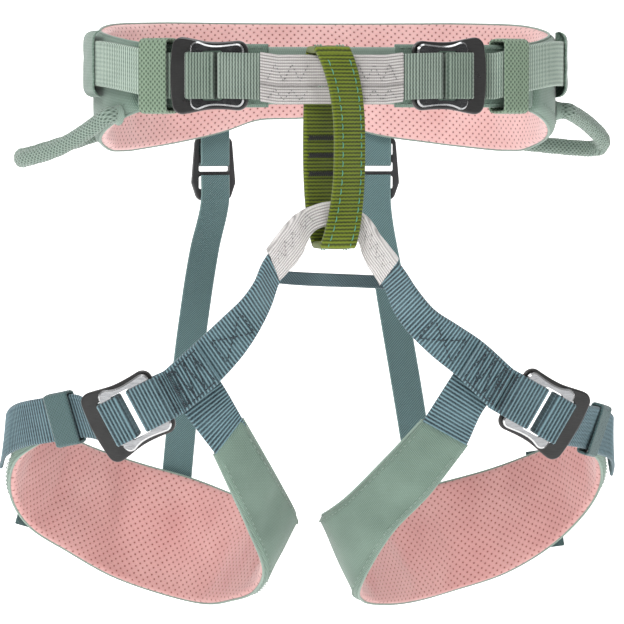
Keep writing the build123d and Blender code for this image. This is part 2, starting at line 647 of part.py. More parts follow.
for side, hand in SIDES.items():
    shell_plane = riser_plane(side)
    # Edge-on plane of the riser: X outwards from the shell, Y upwards.
    profile = Plane(origin=shell_plane.origin, x_dir=shell_plane.z_dir, z_dir=shell_plane.x_dir)
    up = 1 if profile.y_dir.Z > 0 else -1
    route = [(RISER_LEVEL, -3), (RISER_LEVEL, -40.2), (6.6, -40.2), (6.6, -24), (3.3, -18), (3.3, -3)]
    with BuildPart() as upper_riser:
        with BuildSketch(profile):
            webbing_run([(x, up * z) for x, z in route], radius=0.95)
        extrude(amount=RISER_HALF, both=True)
    save(upper_riser, f"{hand}_riser_upper")

    body = Plane(
        origin=shell_plane.from_local_coords((0, 0, 2.4)) + Vector(0, 0, ADJUSTER_Z),
        x_dir=shell_plane.x_dir,
        z_dir=shell_plane.z_dir,
    )
    with BuildPart() as adjuster:
        with BuildSketch(body):
            with BuildLine() as rim:
                half = ADJUSTER_HEIGHT / 2
                corners = [(x * ADJUSTER_WIDTH / 2, y * half) for x, y in ADJUSTER_OUTLINE]
                FilletPolyline(*corners, radius=3.5, close=True)
            make_face(rim.edges())
        extrude(amount=ADJUSTER_THICK)
        flats = adjuster.faces().filter_by(lambda f: f.area > ADJUSTER_WIDTH * ADJUSTER_HEIGHT / 2)
        fillet(flats.edges(), radius=0.8)
        with BuildSketch(body.offset(-1)):
            for low, high in ADJUSTER_SLOTS:
                with Locations((0, (low + high) / 2)):
                    RectangleRounded(ADJUSTER_SLOT_WIDTH, high - low, 0.8)
        extrude(amount=ADJUSTER_THICK + 2, mode=Mode.SUBTRACT)
    save(adjuster, f"{hand}_riser_adjuster")

    head = shell_plane.from_local_coords((0, 0, RISER_LEVEL))
    lean = side * asin(abs(RISER_X[side]) / FLAT_RADIUS)
    top_stations = [((head.X, head.Y, ADJUSTER_Z + z), lean) for z in (-3, -14)]
    edges = []
    for (x, y, z), twist in [*top_stations, *LOWER_RISER[side]]:
        reach = Vector(cos(twist), -sin(twist), 0) * RISER_HALF
        centre = Vector(x, y, z)
        edges.append((tuple(centre + reach), tuple(centre - reach)))
    with BuildPart() as lower_riser:
        ribbon(edges, 1.4)
    save(lower_riser, f"{hand}_riser_lower")

# ---- Gear loops ---------------------------------------------------------------------------------
GEAR_TUBE = 3.3  # radius of the braided tube
GEAR_RUNS = {1: (138.5, 193.0), -1: (108.0, 185.0)}  # front and rear root, along the oval
GEAR_HEIGHTS = {1: (-15.0, -29.0), -1: (-17.0, -24.0)}
# From the middle between the roots to the corner of the bend.
GEAR_TIP = {1: (41, 0, -9), -1: (-43, 2, -17)}
GEAR_BEND = 12.0
GEAR_LEVEL = 5.8  # roots of the tube from the shell
CUFF = (0.1, 2.1)  # inner and outer level of the stitched cuffs
CUFF_RADIUS = 4.4

gear_cuffs = BuildPart()
with gear_cuffs:
    for side in SIDES:
        for run, height in zip(GEAR_RUNS[side], GEAR_HEIGHTS[side]):
            x, y = oval(run, CUFF[0], side)
            far_x, far_y = oval(run, CUFF[1], side)
            with BuildSketch(Plane(origin=(x, y, height), z_dir=(far_x - x, far_y - y, 0))):
                Circle(CUFF_RADIUS)
            extrude(amount=CUFF[1] - CUFF[0])
save(gear_cuffs, "gear_loop_cuffs")

for side, hand in SIDES.items():
    front, rear = (
        Vector(*oval(run, GEAR_LEVEL, side), height)
        for run, height in zip(GEAR_RUNS[side], GEAR_HEIGHTS[side])
    )
    chord = rear - front
    reach = Vector(*GEAR_TIP[side])
    reach = reach - chord * (reach.dot(chord) / chord.length**2)
    loop_plane = Plane(origin=front, x_dir=chord, z_dir=chord.cross(reach))
    across, deep = chord.length, reach.length
    with BuildPart() as gear_loop:
        with BuildLine(loop_plane) as gear_path:
            FilletPolyline((0, 0), (across / 2, deep), (across, 0), radius=GEAR_BEND)
        with BuildSketch(Plane(origin=gear_path.line @ 0, z_dir=gear_path.line % 0)):
            Circle(GEAR_TUBE)
        sweep(path=gear_path.line)
        with Locations(front, rear):
            Sphere(GEAR_TUBE)
    save(gear_loop, f"{hand}_gear_loop")
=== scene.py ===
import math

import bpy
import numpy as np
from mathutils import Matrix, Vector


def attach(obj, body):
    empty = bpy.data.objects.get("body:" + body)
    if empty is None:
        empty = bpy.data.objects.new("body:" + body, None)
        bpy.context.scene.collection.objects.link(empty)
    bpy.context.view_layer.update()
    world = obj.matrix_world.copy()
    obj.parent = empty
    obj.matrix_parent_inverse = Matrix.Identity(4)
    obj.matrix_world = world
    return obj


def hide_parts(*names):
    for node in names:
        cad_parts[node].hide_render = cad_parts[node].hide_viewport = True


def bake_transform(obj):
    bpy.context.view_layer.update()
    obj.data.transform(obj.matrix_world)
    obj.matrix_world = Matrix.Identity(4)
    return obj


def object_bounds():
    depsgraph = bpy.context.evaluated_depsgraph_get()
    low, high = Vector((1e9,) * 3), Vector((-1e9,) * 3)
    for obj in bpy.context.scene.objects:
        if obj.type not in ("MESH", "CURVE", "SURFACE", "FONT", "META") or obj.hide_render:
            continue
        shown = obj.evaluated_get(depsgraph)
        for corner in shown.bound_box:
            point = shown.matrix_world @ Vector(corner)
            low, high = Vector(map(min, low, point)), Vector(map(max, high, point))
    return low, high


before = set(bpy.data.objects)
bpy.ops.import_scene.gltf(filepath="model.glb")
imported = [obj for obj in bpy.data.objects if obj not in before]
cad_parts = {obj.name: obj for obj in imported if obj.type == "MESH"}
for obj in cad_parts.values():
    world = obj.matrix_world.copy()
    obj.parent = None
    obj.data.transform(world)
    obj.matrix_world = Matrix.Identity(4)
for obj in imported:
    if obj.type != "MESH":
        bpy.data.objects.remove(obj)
cad_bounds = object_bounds()

# Child's climbing harness: the soft goods, threads and materials round the CAD frame. Harness lengths
# are millimetres in the CAD frame (+Z up, +X to the wearer's left, front towards -Y) until mesh_object
# turns them into metres; the floor, the lights and the camera are placed in metres.

MM = 0.001
TURN = 2 * math.pi
UP = np.array([0.0, 0.0, 1.0])
SIDES = {1: "left", -1: "right"}

# ---- Dimensions shared with the CAD
HALF_WIDTH, HALF_DEPTH, SIDE_RADIUS = 104.5, 74.0, 67.0
SIDE_CENTRE = HALF_WIDTH - SIDE_RADIUS
STEP_IN = HALF_DEPTH - SIDE_RADIUS
FLAT_CENTRE = (SIDE_CENTRE**2 - STEP_IN**2) / (2 * STEP_IN)
FLAT_RADIUS = FLAT_CENTRE + HALF_DEPTH
FLAT_ANGLE = math.atan2(SIDE_CENTRE, FLAT_CENTRE)
FLAT_RUN = FLAT_RADIUS * FLAT_ANGLE
SIDE_RUN = SIDE_RADIUS * (math.pi - 2 * FLAT_ANGLE)
HALF_ROUND = 2 * FLAT_RUN + SIDE_RUN

BAND_TOP, HIP_LOW, BACK_LOW, WING_HALF, BAND_END = 25.5, -33.0, -18.3, 13.9, 96.0
WEB_HALF, WEB_THICK = 10.0, 1.8
TAIL_LEVEL, STRAP_LEVEL, BUCKLE_LEVEL, SLEEVE_LEVEL = 1.2, 3.3, 4.6, 9.6
FOLD_LEVEL = 5.9
FOLD_ROUTE = [(-9.9, -1.3), (-9.9, FOLD_LEVEL), (1.6, FOLD_LEVEL), (1.6, -3.4)]
LEG_FOLD = -0.9  # where the leg strap comes down over the slider
LEG_FOLD_ROUTE = [
    (-16, -3.4), (LEG_FOLD, -3.4), (LEG_FOLD, FOLD_LEVEL), (-9.9, FOLD_LEVEL), (-9.9, -1.3), (-13, -1.3),
]
HIP_RISE, RISE_START, RISE_SPAN = 6.0, 24.0, 48.0
LOOP_ROUTE = [(4.6, FOLD_LEVEL), (4.6, -1.3)]
BUCKLE_AT = {1: 43.6, -1: 57.0}
KEEPER_AT = {1: 77.5, -1: 83.0}
SLEEVE_ENDS = {1: 22.5, -1: 35.5}
FLAP_ENDS = {1: 20.5, -1: 31.5}
STRAP_ROOT = 136.0
FRONT_X, BELAY_Y = -6.0, -(HALF_DEPTH + SLEEVE_LEVEL)
BELAY_TOP, BELAY_BOTTOM, BELAY_DEPTH, BELAY_THICK, BELAY_SKEW = 12.8, -74.6, 18.0, 3.7, 8.0

# Stations of bands: the upper and the lower edge point of each.
BRIDGE = [
    ((-35, -84, -75), (-29, -76, -88)), ((-28, -86, -65), (-21, -79, -79)),
    ((-18, -85.2, -57), (-14.5, -82.2, -66.5)), ((-10, -84.6, -54.5), (-9, -83.0, -64.5)),
    ((-2, -84.6, -54.5), (-3, -83.0, -64.5)), ((6, -85.2, -59), (2.5, -82.2, -68)),
    ((14, -86, -69), (9, -79, -81)), ((22, -84, -79), (15, -76, -90)),
]
CROSS_STRAP = [
    ((-33, -64.6, -84), (-32.6, -64.6, -89.6)), ((-24, -69.6, -84.6), (-23.4, -69.6, -90.4)),
    ((8, -69.6, -86.2), (9, -69.6, -92)), ((20, -64.6, -87), (20.6, -64.6, -92.8)),
]
LEG_WEBBING = {
    1: [
        ((24.2, -84, -84.5), (16.7, -71, -92.5)), ((30, -82, -92), (22, -70, -102)),
        ((38, -79, -101), (29, -70, -112)), ((49, -75, -108), (39, -70, -122)),
        ((60, -71, -115), (50, -70, -131)),
    ],
    -1: [
        ((-37, -84, -81), (-31, -71, -91)), ((-40, -82, -89), (-32.5, -70, -100)),
        ((-45, -79, -96), (-36, -70, -108)), ((-53, -75, -104), (-42, -70, -118)),
        ((-65, -71, -115.5), (-54, -70, -132)),
    ],
}
# Where each leg webbing comes out of the end of the bridge's sleeve.
TUCK = {
    1: [((18.2, -84.2, -75.6), (12.4, -77.2, -85.6)), ((24.4, -83.6, -84), (17.4, -73.5, -91.6))],
    -1: [((-31.2, -84.2, -72), (-25.8, -77.6, -83.4)), ((-36.2, -83.4, -80), (-29.4, -73, -90.2))],
}
ARM_WEBBING = {
    1: [
        ((52.5, -64.3, -124.5), (71, -62.8, -136.5)), ((46, -65.8, -134), (63, -64.3, -145)),
        ((37, -62.5, -149), (56.3, -60.5, -160)),
    ],
    -1: [
        ((-57.5, -64.3, -126), (-76, -62.8, -137.5)), ((-51.5, -65.8, -135.5), (-68, -64.3, -148)),
        ((-44.5, -62.5, -147.5), (-56.5, -60.5, -163)),
    ],
}
LEG_PAD = {
    1: [
        ((36, -62, -150), (56, -60, -161)), ((21, -52, -168), (40, -55, -183)),
        ((6, -38, -186), (24, -42, -203)), ((-3, -20, -196), (14, -18, -229)),
        ((2, 2, -197), (18, 4, -238)), ((18, 28, -196), (33, 28, -243)), ((40, 48, -194), (50, 48, -244)),
        ((64, 59, -190), (68, 59, -241)), ((86, 58, -184), (92, 57, -233)),
        ((104, 48, -176), (112, 46, -219)), ((117, 32, -168), (125, 30, -202)),
        ((125, 13, -160), (129, 12, -187)), ((124.5, -6, -156), (125, -6, -175)),
        ((117.5, -22, -154), (117, -22, -168)),
    ],
    -1: [
        ((-44, -62, -148.5), (-56, -60, -164)), ((-33, -52, -167), (-49, -56, -179)),
        ((-24, -38, -182), (-40, -45, -198)), ((-16.5, -21, -195), (-31, -26, -220)),
        ((-16, -3, -199), (-33, -4, -232)), ((-22, 20, -198), (-41, 20, -239)),
        ((-36, 42, -194), (-52, 41, -243)), ((-56, 57, -187), (-71, 56, -240)),
        ((-80, 60, -180), (-93, 58, -232)), ((-101, 50, -172), (-114, 48, -219)),
        ((-118, 35, -163), (-133, 33, -205)), ((-130, 15, -154), (-142, 13, -187)),
        ((-133.5, -5, -147), (-139.5, -6, -171)), ((-127, -21, -143), (-128, -21, -161)),
    ],
}
LEG_STRAP = {
    1: [
        ((116, -44, -146.5), (107.5, -44, -164.5)), ((125.6, -21.5, -150.5), (121.8, -21.5, -170)),
        ((130.6, -8, -153.5), (129.6, -8, -173.5)), ((132.4, 5, -158), (133.7, 5, -178)),
        ((132.2, 18, -164), (135.8, 18, -184)),
    ],
    -1: [
        ((-114, -46.5, -139.5), (-107.5, -46.5, -158.5)), ((-131, -31, -142), (-127, -31, -161.5)),
        ((-140, -17, -145), (-137.5, -17, -165)), ((-143.5, -2, -150), (-144.5, -2, -170)),
        ((-142, 14, -157.5), (-146.5, 14, -177)),
    ],
}
LEG_BUCKLE = {1: (88.5, -63.5, -147.0), -1: (-92.5, -62.0, -146.5)}
LEG_BUCKLE_X = {1: (-0.862, -0.155, 0.483), -1: (0.86, -0.22, 0.46)}
LEG_BUCKLE_Z = {1: (0.12, -0.985, -0.12), -1: (-0.24, -0.965, -0.10)}
LEG_END_LEVEL, PLY_SPREAD, PATCH_SHIFT = 2.3, 0.95, 2.9
TAB_STATION = {1: 9, -1: 10}
RISER_HALF, RISER_X, ADJUSTER_Z, RISER_LEVEL = 7.0, {1: 32.4, -1: -43.5}, -42.0, 1.2
RISER_ROUTE = [(RISER_LEVEL, -3), (RISER_LEVEL, -40.2), (6.6, -40.2), (6.6, -24), (3.3, -18), (3.3, -3)]
# Middle of each station of a lower riser, and how far the band is turned there, in radians.
LOWER_RISER = {
    1: [((38, 70, -92), 0.1), ((49.5, 64, -165), 0.0), ((55, 62.8, -203), -0.3)],
    -1: [
        ((-48.8, 70.6, -80), -0.12), ((-54.3, 69, -114), -0.05), ((-61.5, 64.5, -175), 0.1),
        ((-64, 64, -203), 0.1),
    ],
}
GEAR_TUBE, GEAR_LEVEL, GEAR_BEND = 3.3, 5.8, 12.0
GEAR_RUNS = {1: (138.5, 193.0), -1: (108.0, 185.0)}
GEAR_HEIGHTS = {1: (-15.0, -29.0), -1: (-17.0, -24.0)}
GEAR_DROOP = {1: -2.2, -1: 4.2}  # how far the front strand of a gear loop hangs below the straight line
GEAR_TIP = {1: (41, 0, -9), -1: (-43, 2, -17)}
BELAY_BULGE, BELAY_TWIST, BELAY_RIB, BELAY_HALF, BELAY_FACE = 5.0, 22.0, 1.56, 8.0, 1.78
TACK_HEIGHTS = (-27.0, -34.5, -42.5)
TIE_SAG, TIE_PLY, TIE_MIDDLE = 1.7, 0.7, 0.4
WAIST_PAD, LEG_PAD_THICK, STRAP_COVER_WALL = 6.8, 5.2, 0.8
COVER_LOW, COVER_HIGH, COVER_FRONT, COVER_REAR, COVER_END = -9, 20.5, 122, 137.6, 139.9
COVER_LEVEL, COVER_ROLL, COVER_FLAT_HALF, COVER_BEND, COVER_END_LEVEL = 5.35, 4.2, 10.2, 4.55, 0.95
BRAID_ENDS, BRAID_LAY, BRAID_BEAT, GEAR_AROUND = 7, 9.0, 1.4, 40
CUFF_REACH, CUFF_RADIUS, CUFF_PLEATS, CUFF_ROWS, CUFF_AROUND = (0.2, 3.6), 4.6, 18, 14, 36

# Pitches of the weaves, used by the reliefs and the materials alike.
ZIG_PITCH, WAIST_RIB, LEG_RIB = 1.9, 1.3, 1.62
SLEEVE_RIB, SLEEVE_PICK = 1.25, 0.95
DOT_ALONG, DOT_ROW = 3.6, 1.7  # perforations along a row, and from row to row


# ---- Vectors and curves
def unit(v):
    v = np.asarray(v, float)
    return v / np.maximum(np.linalg.norm(v, axis=-1, keepdims=True), 1e-9)


def smooth(knots, values, at):
    """Values between knots on a cubic whose slopes come from the neighbouring knots."""
    knots, values = np.asarray(knots, float), np.asarray(values, float)
    slopes = np.gradient(values, knots, axis=0)
    i = np.clip(np.searchsorted(knots, at, side="right") - 1, 0, len(knots) - 2)
    span = knots[i + 1] - knots[i]
    t = (at - knots[i]) / span
    shape = (-1,) + (1,) * (values.ndim - 1)
    span, t = span.reshape(shape), t.reshape(shape)
    rise = (3 - 2 * t) * t * t
    lead = t * (1 - t) ** 2 * span
    trail = -t * t * (1 - t) * span
    return values[i] * (1 - rise) + values[i + 1] * rise + slopes[i] * lead + slopes[i + 1] * trail


def lengths(points):
    return np.concatenate([[0], np.cumsum(np.linalg.norm(np.diff(points, axis=0), axis=1))])


def averaged(columns, window, mode):
    """Each column averaged with its neighbours; the ends are held or wrapped round."""
    window = window / np.sum(window)
    reach = len(window) // 2
    return np.stack([np.convolve(np.pad(c, reach, mode=mode), window, "valid") for c in columns], -1)


def rounded(points, radius, closed=False):
    """A polyline with each corner turned into a short bend."""
    points = np.asarray(points, float)
    count = len(points)
    out = [] if closed else [points[0]]
    for i in range(0 if closed else 1, count if closed else count - 1):
        here, before, after = points[i], points[i - 1], points[(i + 1) % count]
        back, ahead = before - here, after - here
        back_len, ahead_len = np.linalg.norm(back), np.linalg.norm(ahead)
        half = math.acos(float(np.clip(-(back @ ahead) / (back_len * ahead_len), -1, 1))) / 2
        cut = min(radius * math.tan(half), 0.48 * back_len, 0.48 * ahead_len)
        start, stop = here + back / back_len * cut, here + ahead / ahead_len * cut
        for t in np.linspace(0, 1, 7 if half > 0.1 else 2):
            out.append(start * (1 - t) ** 2 + here * 2 * t * (1 - t) + stop * t * t)
    if not closed:
        out.append(points[-1])
    return np.array(out)


def oval(run, level, side):
    """Points of the waist oval, `run` from the front centre and `level` outside the shell."""
    run = np.asarray(run, float)
    front, hip, back = oval_angles(run)
    flat, round_ = FLAT_RADIUS + level, SIDE_RADIUS + level
    in_front, at_back = run < FLAT_RUN, run > FLAT_RUN + SIDE_RUN
    x = np.where(in_front, flat * np.sin(front), SIDE_CENTRE + round_ * np.sin(hip))
    y = np.where(in_front, FLAT_CENTRE - flat * np.cos(front), -round_ * np.cos(hip))
    x = np.where(at_back, flat * np.sin(back), x)
    y = np.where(at_back, flat * np.cos(back) - FLAT_CENTRE, y)
    return np.stack([side * x, y, 0 * x], -1)


def oval_angles(run):
    return run / FLAT_RADIUS, FLAT_ANGLE + (run - FLAT_RUN) / SIDE_RADIUS, (HALF_ROUND - run) / FLAT_RADIUS


def oval_out(run, side):
    front, hip, back = oval_angles(np.asarray(run, float))
    turn = np.where(run < FLAT_RUN, front, np.where(run > FLAT_RUN + SIDE_RUN, math.pi - back, hip))
    return np.stack([side * np.sin(turn), -np.cos(turn), 0 * turn], -1)


class Run:
    """A band: middle line, direction across, direction out and half width, by distance along it."""

    def __init__(self, centre, across, half, out=None, closed=False):
        centre = np.asarray(centre, float)
        self.centre = np.vstack([centre, centre[:1]]) if closed else centre
        count = len(self.centre)
        across = np.broadcast_to(np.asarray(across, float), (count, 3))
        if out is None:
            along = np.gradient(self.centre, axis=0)
            if closed:
                along[0] = along[-1] = self.centre[1] - self.centre[-2]
            out = np.cross(across, unit(along - across * np.sum(along * across, 1, keepdims=True)))
        self.across, self.out = unit(across), unit(out)
        self.half = np.broadcast_to(np.asarray(half, float), (count,))
        self.s = lengths(self.centre)
        self.length = self.s[-1]
        self.closed = closed

    def at(self, s, table):
        if table.ndim == 1:
            return np.interp(s, self.s, table)
        return np.stack([np.interp(s, self.s, column) for column in table.T], -1)

    def point(self, s, x, out):
        """World points: s along, x across in mm, out from the middle of the band; arrays broadcast."""
        s, x, out = np.broadcast_arrays(*(np.asarray(v, float) for v in (s, x, out)))
        tables = (self.centre, self.across, self.out)
        centre, across, normal = (self.at(s.ravel(), t).reshape(s.shape + (3,)) for t in tables)
        return centre + unit(across) * x[..., None] + unit(normal) * out[..., None]

    def steps(self, step):
        return np.linspace(0, self.length, max(3, int(round(self.length / step)) + 1))

    def outwards(self, middle):
        """Turns the outer face away from a point inside the loop."""
        self.out = self.out * math.copysign(1, np.mean(np.sum(self.out * (self.centre - middle), 1)))
        return self


def planar(points, across, half, radius=1.1, closed=False):
    """Webbing on edge along a flat route."""
    line = rounded(points, radius, closed)
    keep = np.concatenate([[True], np.linalg.norm(np.diff(line, axis=0), axis=1) > 0.02])
    return Run(line[keep], across, half, closed=closed)


def between(edges, side=1, step=1.0, level=0.0):
    """Band through stations of an upper and a lower edge point."""
    upper, lower = (np.array([e[k] for e in edges], float) for k in (0, 1))
    knots = lengths((upper + lower) / 2)
    at = np.linspace(0, knots[-1], max(8, int(knots[-1] / step)))
    upper, lower = smooth(knots, upper, at), smooth(knots, lower, at)
    centre = (upper + lower) / 2
    across = upper - lower
    along = np.gradient(centre, axis=0)
    out = unit(np.cross(across, along)) * side
    return Run(centre + out * level, unit(across), np.linalg.norm(across, axis=1) / 2, out=out)


def oval_path(start, stop, level, side, step=0.8):
    """Points along the oval at one level."""
    return oval(np.linspace(start, stop, max(2, int(abs(stop - start) / step) + 1)), level, side)


def front_path(ends, level):
    """Points along the oval across the front, from the right side's end to the left side's."""
    return np.vstack([oval_path(ends[-1], 0, level, -1)[:-1], oval_path(0, ends[1], level, 1)])


def buckle_place(side):
    """Origin, X and Z of a waist buckle."""
    out = oval_out(BUCKLE_AT[side], side)
    inward = np.array([-side * -out[1], -side * out[0], 0.0])
    return oval(BUCKLE_AT[side], BUCKLE_LEVEL, side), inward, out


def leg_buckle_place(side):
    z, x = unit(LEG_BUCKLE_Z[side]), np.asarray(LEG_BUCKLE_X[side], float)
    x = unit(x - z * (x @ z))
    return np.array(LEG_BUCKLE[side]), x, z


def routed(place, route):
    """World points of a route drawn in a buckle's own X and Z."""
    origin, x_dir, z_dir = place
    return np.array([origin + x_dir * x + z_dir * z for x, z in route])


# ---- Meshes
def two_faced(front, back):
    """Rings that go up one face and down the other."""
    return np.concatenate([front, back[:, ::-1]], axis=1)


def weave_map(along, across, face):
    """What the materials read at each point: distances along and across the cloth, and its face."""
    return np.stack(np.broadcast_arrays(along, across, face), -1)


def skin(name, rings, closed=False, weave=None, look=None):
    """Closed body from rings of points, each ring a closed loop with an even count."""
    rows, ring = rings.shape[:2]
    index = np.arange(rows * ring).reshape(rows, ring)
    lower, upper = (index, np.roll(index, -1, axis=0)) if closed else (index[:-1], index[1:])
    lower_next, upper_next = np.roll(lower, -1, axis=1), np.roll(upper, -1, axis=1)
    quads = np.stack([lower, lower_next, upper_next, upper], -1).reshape(-1, 4)
    if not closed:
        k = np.arange(ring // 2 - 1)
        cap = np.stack([k, ring - 1 - k, ring - 2 - k, k + 1], -1)
        quads = np.vstack([quads, cap, (cap + index[-1, 0])[:, ::-1]])
    return mesh_object(name, rings.reshape(-1, 3), quads, weave, look)


def mesh_object(name, points, quads, weave=None, look=None):
    """Smooth mesh in metres, with its faces turned outwards."""
    mesh = bpy.data.meshes.new(name)
    mesh.vertices.add(len(points))
    mesh.vertices.foreach_set("co", (np.asarray(points) * MM).astype(np.float32).ravel())
    mesh.loops.add(quads.size)
    mesh.loops.foreach_set("vertex_index", quads.astype(np.int32).ravel())
    mesh.polygons.add(len(quads))
    mesh.polygons.foreach_set("loop_start", np.arange(0, quads.size, 4, dtype=np.int32))
    mesh.polygons.foreach_set("use_smooth", np.ones(len(quads), bool))
    if weave is not None:
        data = mesh.attributes.new("weave", "FLOAT_VECTOR", "POINT")
        data.data.foreach_set("vector", np.asarray(weave, np.float32).ravel())
    mesh.update(calc_edges=True)
    mesh.validate()
    obj = linked(name, mesh)
    if look is not None:
        mesh.materials.append(look)
    centre, normal, area = (np.empty(len(mesh.polygons) * n) for n in (3, 3, 1))
    for key, store in (("center", centre), ("normal", normal), ("area", area)):
        mesh.polygons.foreach_get(key, store)
    middle = centre.reshape(-1, 3) - centre.reshape(-1, 3).mean(0)
    if np.sum(np.sum(middle * normal.reshape(-1, 3), 1) * area) < 0:
        mesh.flip_normals()
    return obj


def linked(name, data):
    obj = bpy.data.objects.new(name, data)
    bpy.context.scene.collection.objects.link(obj)
    return obj


def finish_piece(piece, body, slot, *nodes):
    """Puts a piece on its body and hides the CAD parts it stands for; `slot` is not used."""
    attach(piece, body)
    if nodes:
        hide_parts(*nodes)
    return piece


def band(name, run, thick, look, relief, step=0.33, columns=22):
    """Flat band with rounded edges and a woven relief on both faces."""
    s = run.steps(step)[: -1 if run.closed else None]
    u = np.linspace(-1, 1, columns)
    half = run.at(s, run.half)[:, None]
    s, x = s[:, None], half * u
    level = thick / 2 * (0.35 + 0.65 * np.sqrt(np.clip(1 - np.abs(u) ** 14, 0, 1))) + relief(s, x, half)
    rings = two_faced(run.point(s, x, level), run.point(s, x, -level))
    return skin(name, rings, run.closed, two_faced(weave_map(s, x, 1.0), weave_map(s, x, -1.0)), look)


def tube_rings(path, radius, around):
    """Rings of a round tube along a path, and their angles; the radius may vary along and around."""
    along = unit(np.gradient(path, axis=0))
    first = [unit(np.cross(along[0], UP + 1e-3))]
    for direction in along[1:]:
        first.append(unit(first[-1] - direction * (first[-1] @ direction)))
    first = np.array(first)[:, None]
    angle = np.linspace(0, TURN, around, endpoint=False)
    radius = np.broadcast_to(np.asarray(radius, float), (len(path), around))[..., None]
    spoke = first * np.cos(angle)[:, None] + np.cross(along[:, None], first) * np.sin(angle)[:, None]
    return path[:, None] + radius * spoke, angle


def threads(name, starts, stops, normals, look, radius=0.26, rise=0.35):
    """Stitches: one short bent thread of five rings of six points from each start to its stop."""
    starts, stops, normals = (np.asarray(v, float)[:, None] for v in (starts, stops, normals))
    t = np.array([0, 0.18, 0.5, 0.82, 1.0])[:, None]
    arch = np.array([-0.9, 0.55, 1.0, 0.55, -0.9])[:, None] * rise
    fat = np.array([0.45, 0.95, 1.0, 0.95, 0.45])[:, None, None] * radius
    along = unit(stops - starts)
    lateral = unit(np.cross(along, normals))
    normal = np.cross(lateral, along)
    angle = np.linspace(0, TURN, 6, endpoint=False)
    centre = starts * (1 - t) + stops * t + normal * arch
    circle = lateral * np.cos(angle)[:, None] + normal * np.sin(angle)[:, None]
    points = centre[:, :, None] + circle[:, None] * fat
    index = np.arange(len(starts) * 30).reshape(-1, 5, 6)
    after = np.roll(index, -1, axis=2)
    sides = np.stack([index[:, :-1], after[:, :-1], after[:, 1:], index[:, 1:]], -1)
    cap = np.array([[0, 5, 4, 1], [1, 4, 3, 2]])
    faces = (sides, cap + index[:, :1, :1], cap[:, ::-1] + index[:, 4:, :1])
    weave = weave_map(t * 3 + np.arange(len(starts))[:, None, None] * 1.7, angle, 0.0)
    return mesh_object(name, points.reshape(-1, 3), np.vstack([f.reshape(-1, 4) for f in faces]), weave, look)


def sewn(name, run, lines, out, look, stitch=2.2, gap=0.9, radius=0.26):
    """Rows of stitches along polylines of (along, across) points of a band; out is the face's level."""
    ends = []
    for line in lines:
        line = np.asarray(line, float)
        distance = lengths(line)
        count = max(1, int(distance[-1] / (stitch + gap)))
        pitch = distance[-1] / count
        for i in range(count):
            at = (i * pitch + gap / 2, (i + 1) * pitch - gap / 2)
            ends.append([np.interp(at, distance, column) for column in line.T])
    s, x = np.array(ends).transpose(1, 2, 0)
    first, last = (run.point(s[k], x[k], out) for k in (0, 1))
    normal = run.at((s[0] + s[1]) / 2, run.out) * math.copysign(1, out)
    return threads(name, first, last, normal, look, radius)


def zigzag(s0, s1, x_low, x_high, pitch):
    """Polyline that runs to and fro across a band between two distances along it."""
    count = max(1, int(round((s1 - s0) / pitch)))
    s = np.linspace(s0, s1, count + 1)
    return [(v, x_high if i % 2 else x_low) for i, v in enumerate(s)]


def bar_tack(s, x_low, x_high, width=1.6, pitch=0.55):
    """A dense zigzag across the band."""
    count = max(4, int(abs(x_high - x_low) / pitch))
    x = np.linspace(x_low, x_high, count + 1)
    return [(s + (width / 2 if i % 2 else -width / 2), v) for i, v in enumerate(x)]


# ---- Woven reliefs, in millimetres
def tri(v):
    return np.abs((v % 1.0) * 2 - 1) * 2 - 1


def ribs(pitch, height, zig, selvedge=0.14):
    """Transverse ribs with a small zigzag, and a rounded selvedge at each edge."""

    def lift(s, x, half):
        wave = 0.5 + 0.5 * np.cos(TURN * (s / pitch + zig * tri(x / ZIG_PITCH)))
        edge = np.clip((np.abs(x) - (half - 1.4)) / 0.6, 0, 1)
        return height * (wave - 1) * (1 - 0.6 * edge) + selvedge * edge

    return lift


def twill(pitch, height, slope=1.0):
    """Diagonal ribs that change direction in the middle of the band's width."""

    def lift(s, x, half):
        wave = 0.5 + 0.5 * np.cos(2 * math.pi * (s + slope * x) / pitch)
        edge = np.clip((np.abs(x) - (half - 1.2)) / 0.5, 0, 1)
        return height * (wave - 1) * (1 - edge) + 0.1 * edge

    return lift


def basket(pitch, height):
    """Coarse basket weave: staggered raised floats."""

    def lift(s, x, half):
        row = np.floor(x / (pitch * 0.5))
        a = np.cos(2 * math.pi * (s / pitch + 0.5 * row))
        b = np.cos(2 * math.pi * x / (pitch * 0.5) + math.pi)
        return height * np.clip(0.5 + 0.35 * a - 0.25 * b, 0, 1)

    return lift


def soft_waves(s, x, seed, size=19.0, height=0.14):
    """Gentle unevenness of a sewn pad, as a few crossing waves."""
    rng = np.random.default_rng(seed)
    total = 0
    for _ in range(6):
        angle, phase, scale = rng.uniform(-0.9, 0.9), rng.uniform(0, 6.28), size * rng.uniform(0.6, 1.6)
        total = total + np.sin(2 * math.pi * (s * math.cos(angle) + x * math.sin(angle)) / scale + phase)
    return height * total / 2.4


def dot_distance(s, x):
    """Distance to the nearest perforation of the staggered pattern."""
    rows = []
    for row in (np.floor(x / DOT_ROW), np.floor(x / DOT_ROW) + 1):
        along = (s - (row % 2) * DOT_ALONG / 2 + DOT_ALONG / 2) % DOT_ALONG - DOT_ALONG / 2
        rows.append(np.hypot(along, x - row * DOT_ROW))
    return np.minimum(*rows)


def perforations(s, x):
    return -0.26 * np.exp(-((dot_distance(s, x) / 0.55) ** 2))


def uneven(seed, height):
    """Nothing but the unevenness, as a relief."""
    return lambda s, x, half: soft_waves(s, x, seed, height=height)


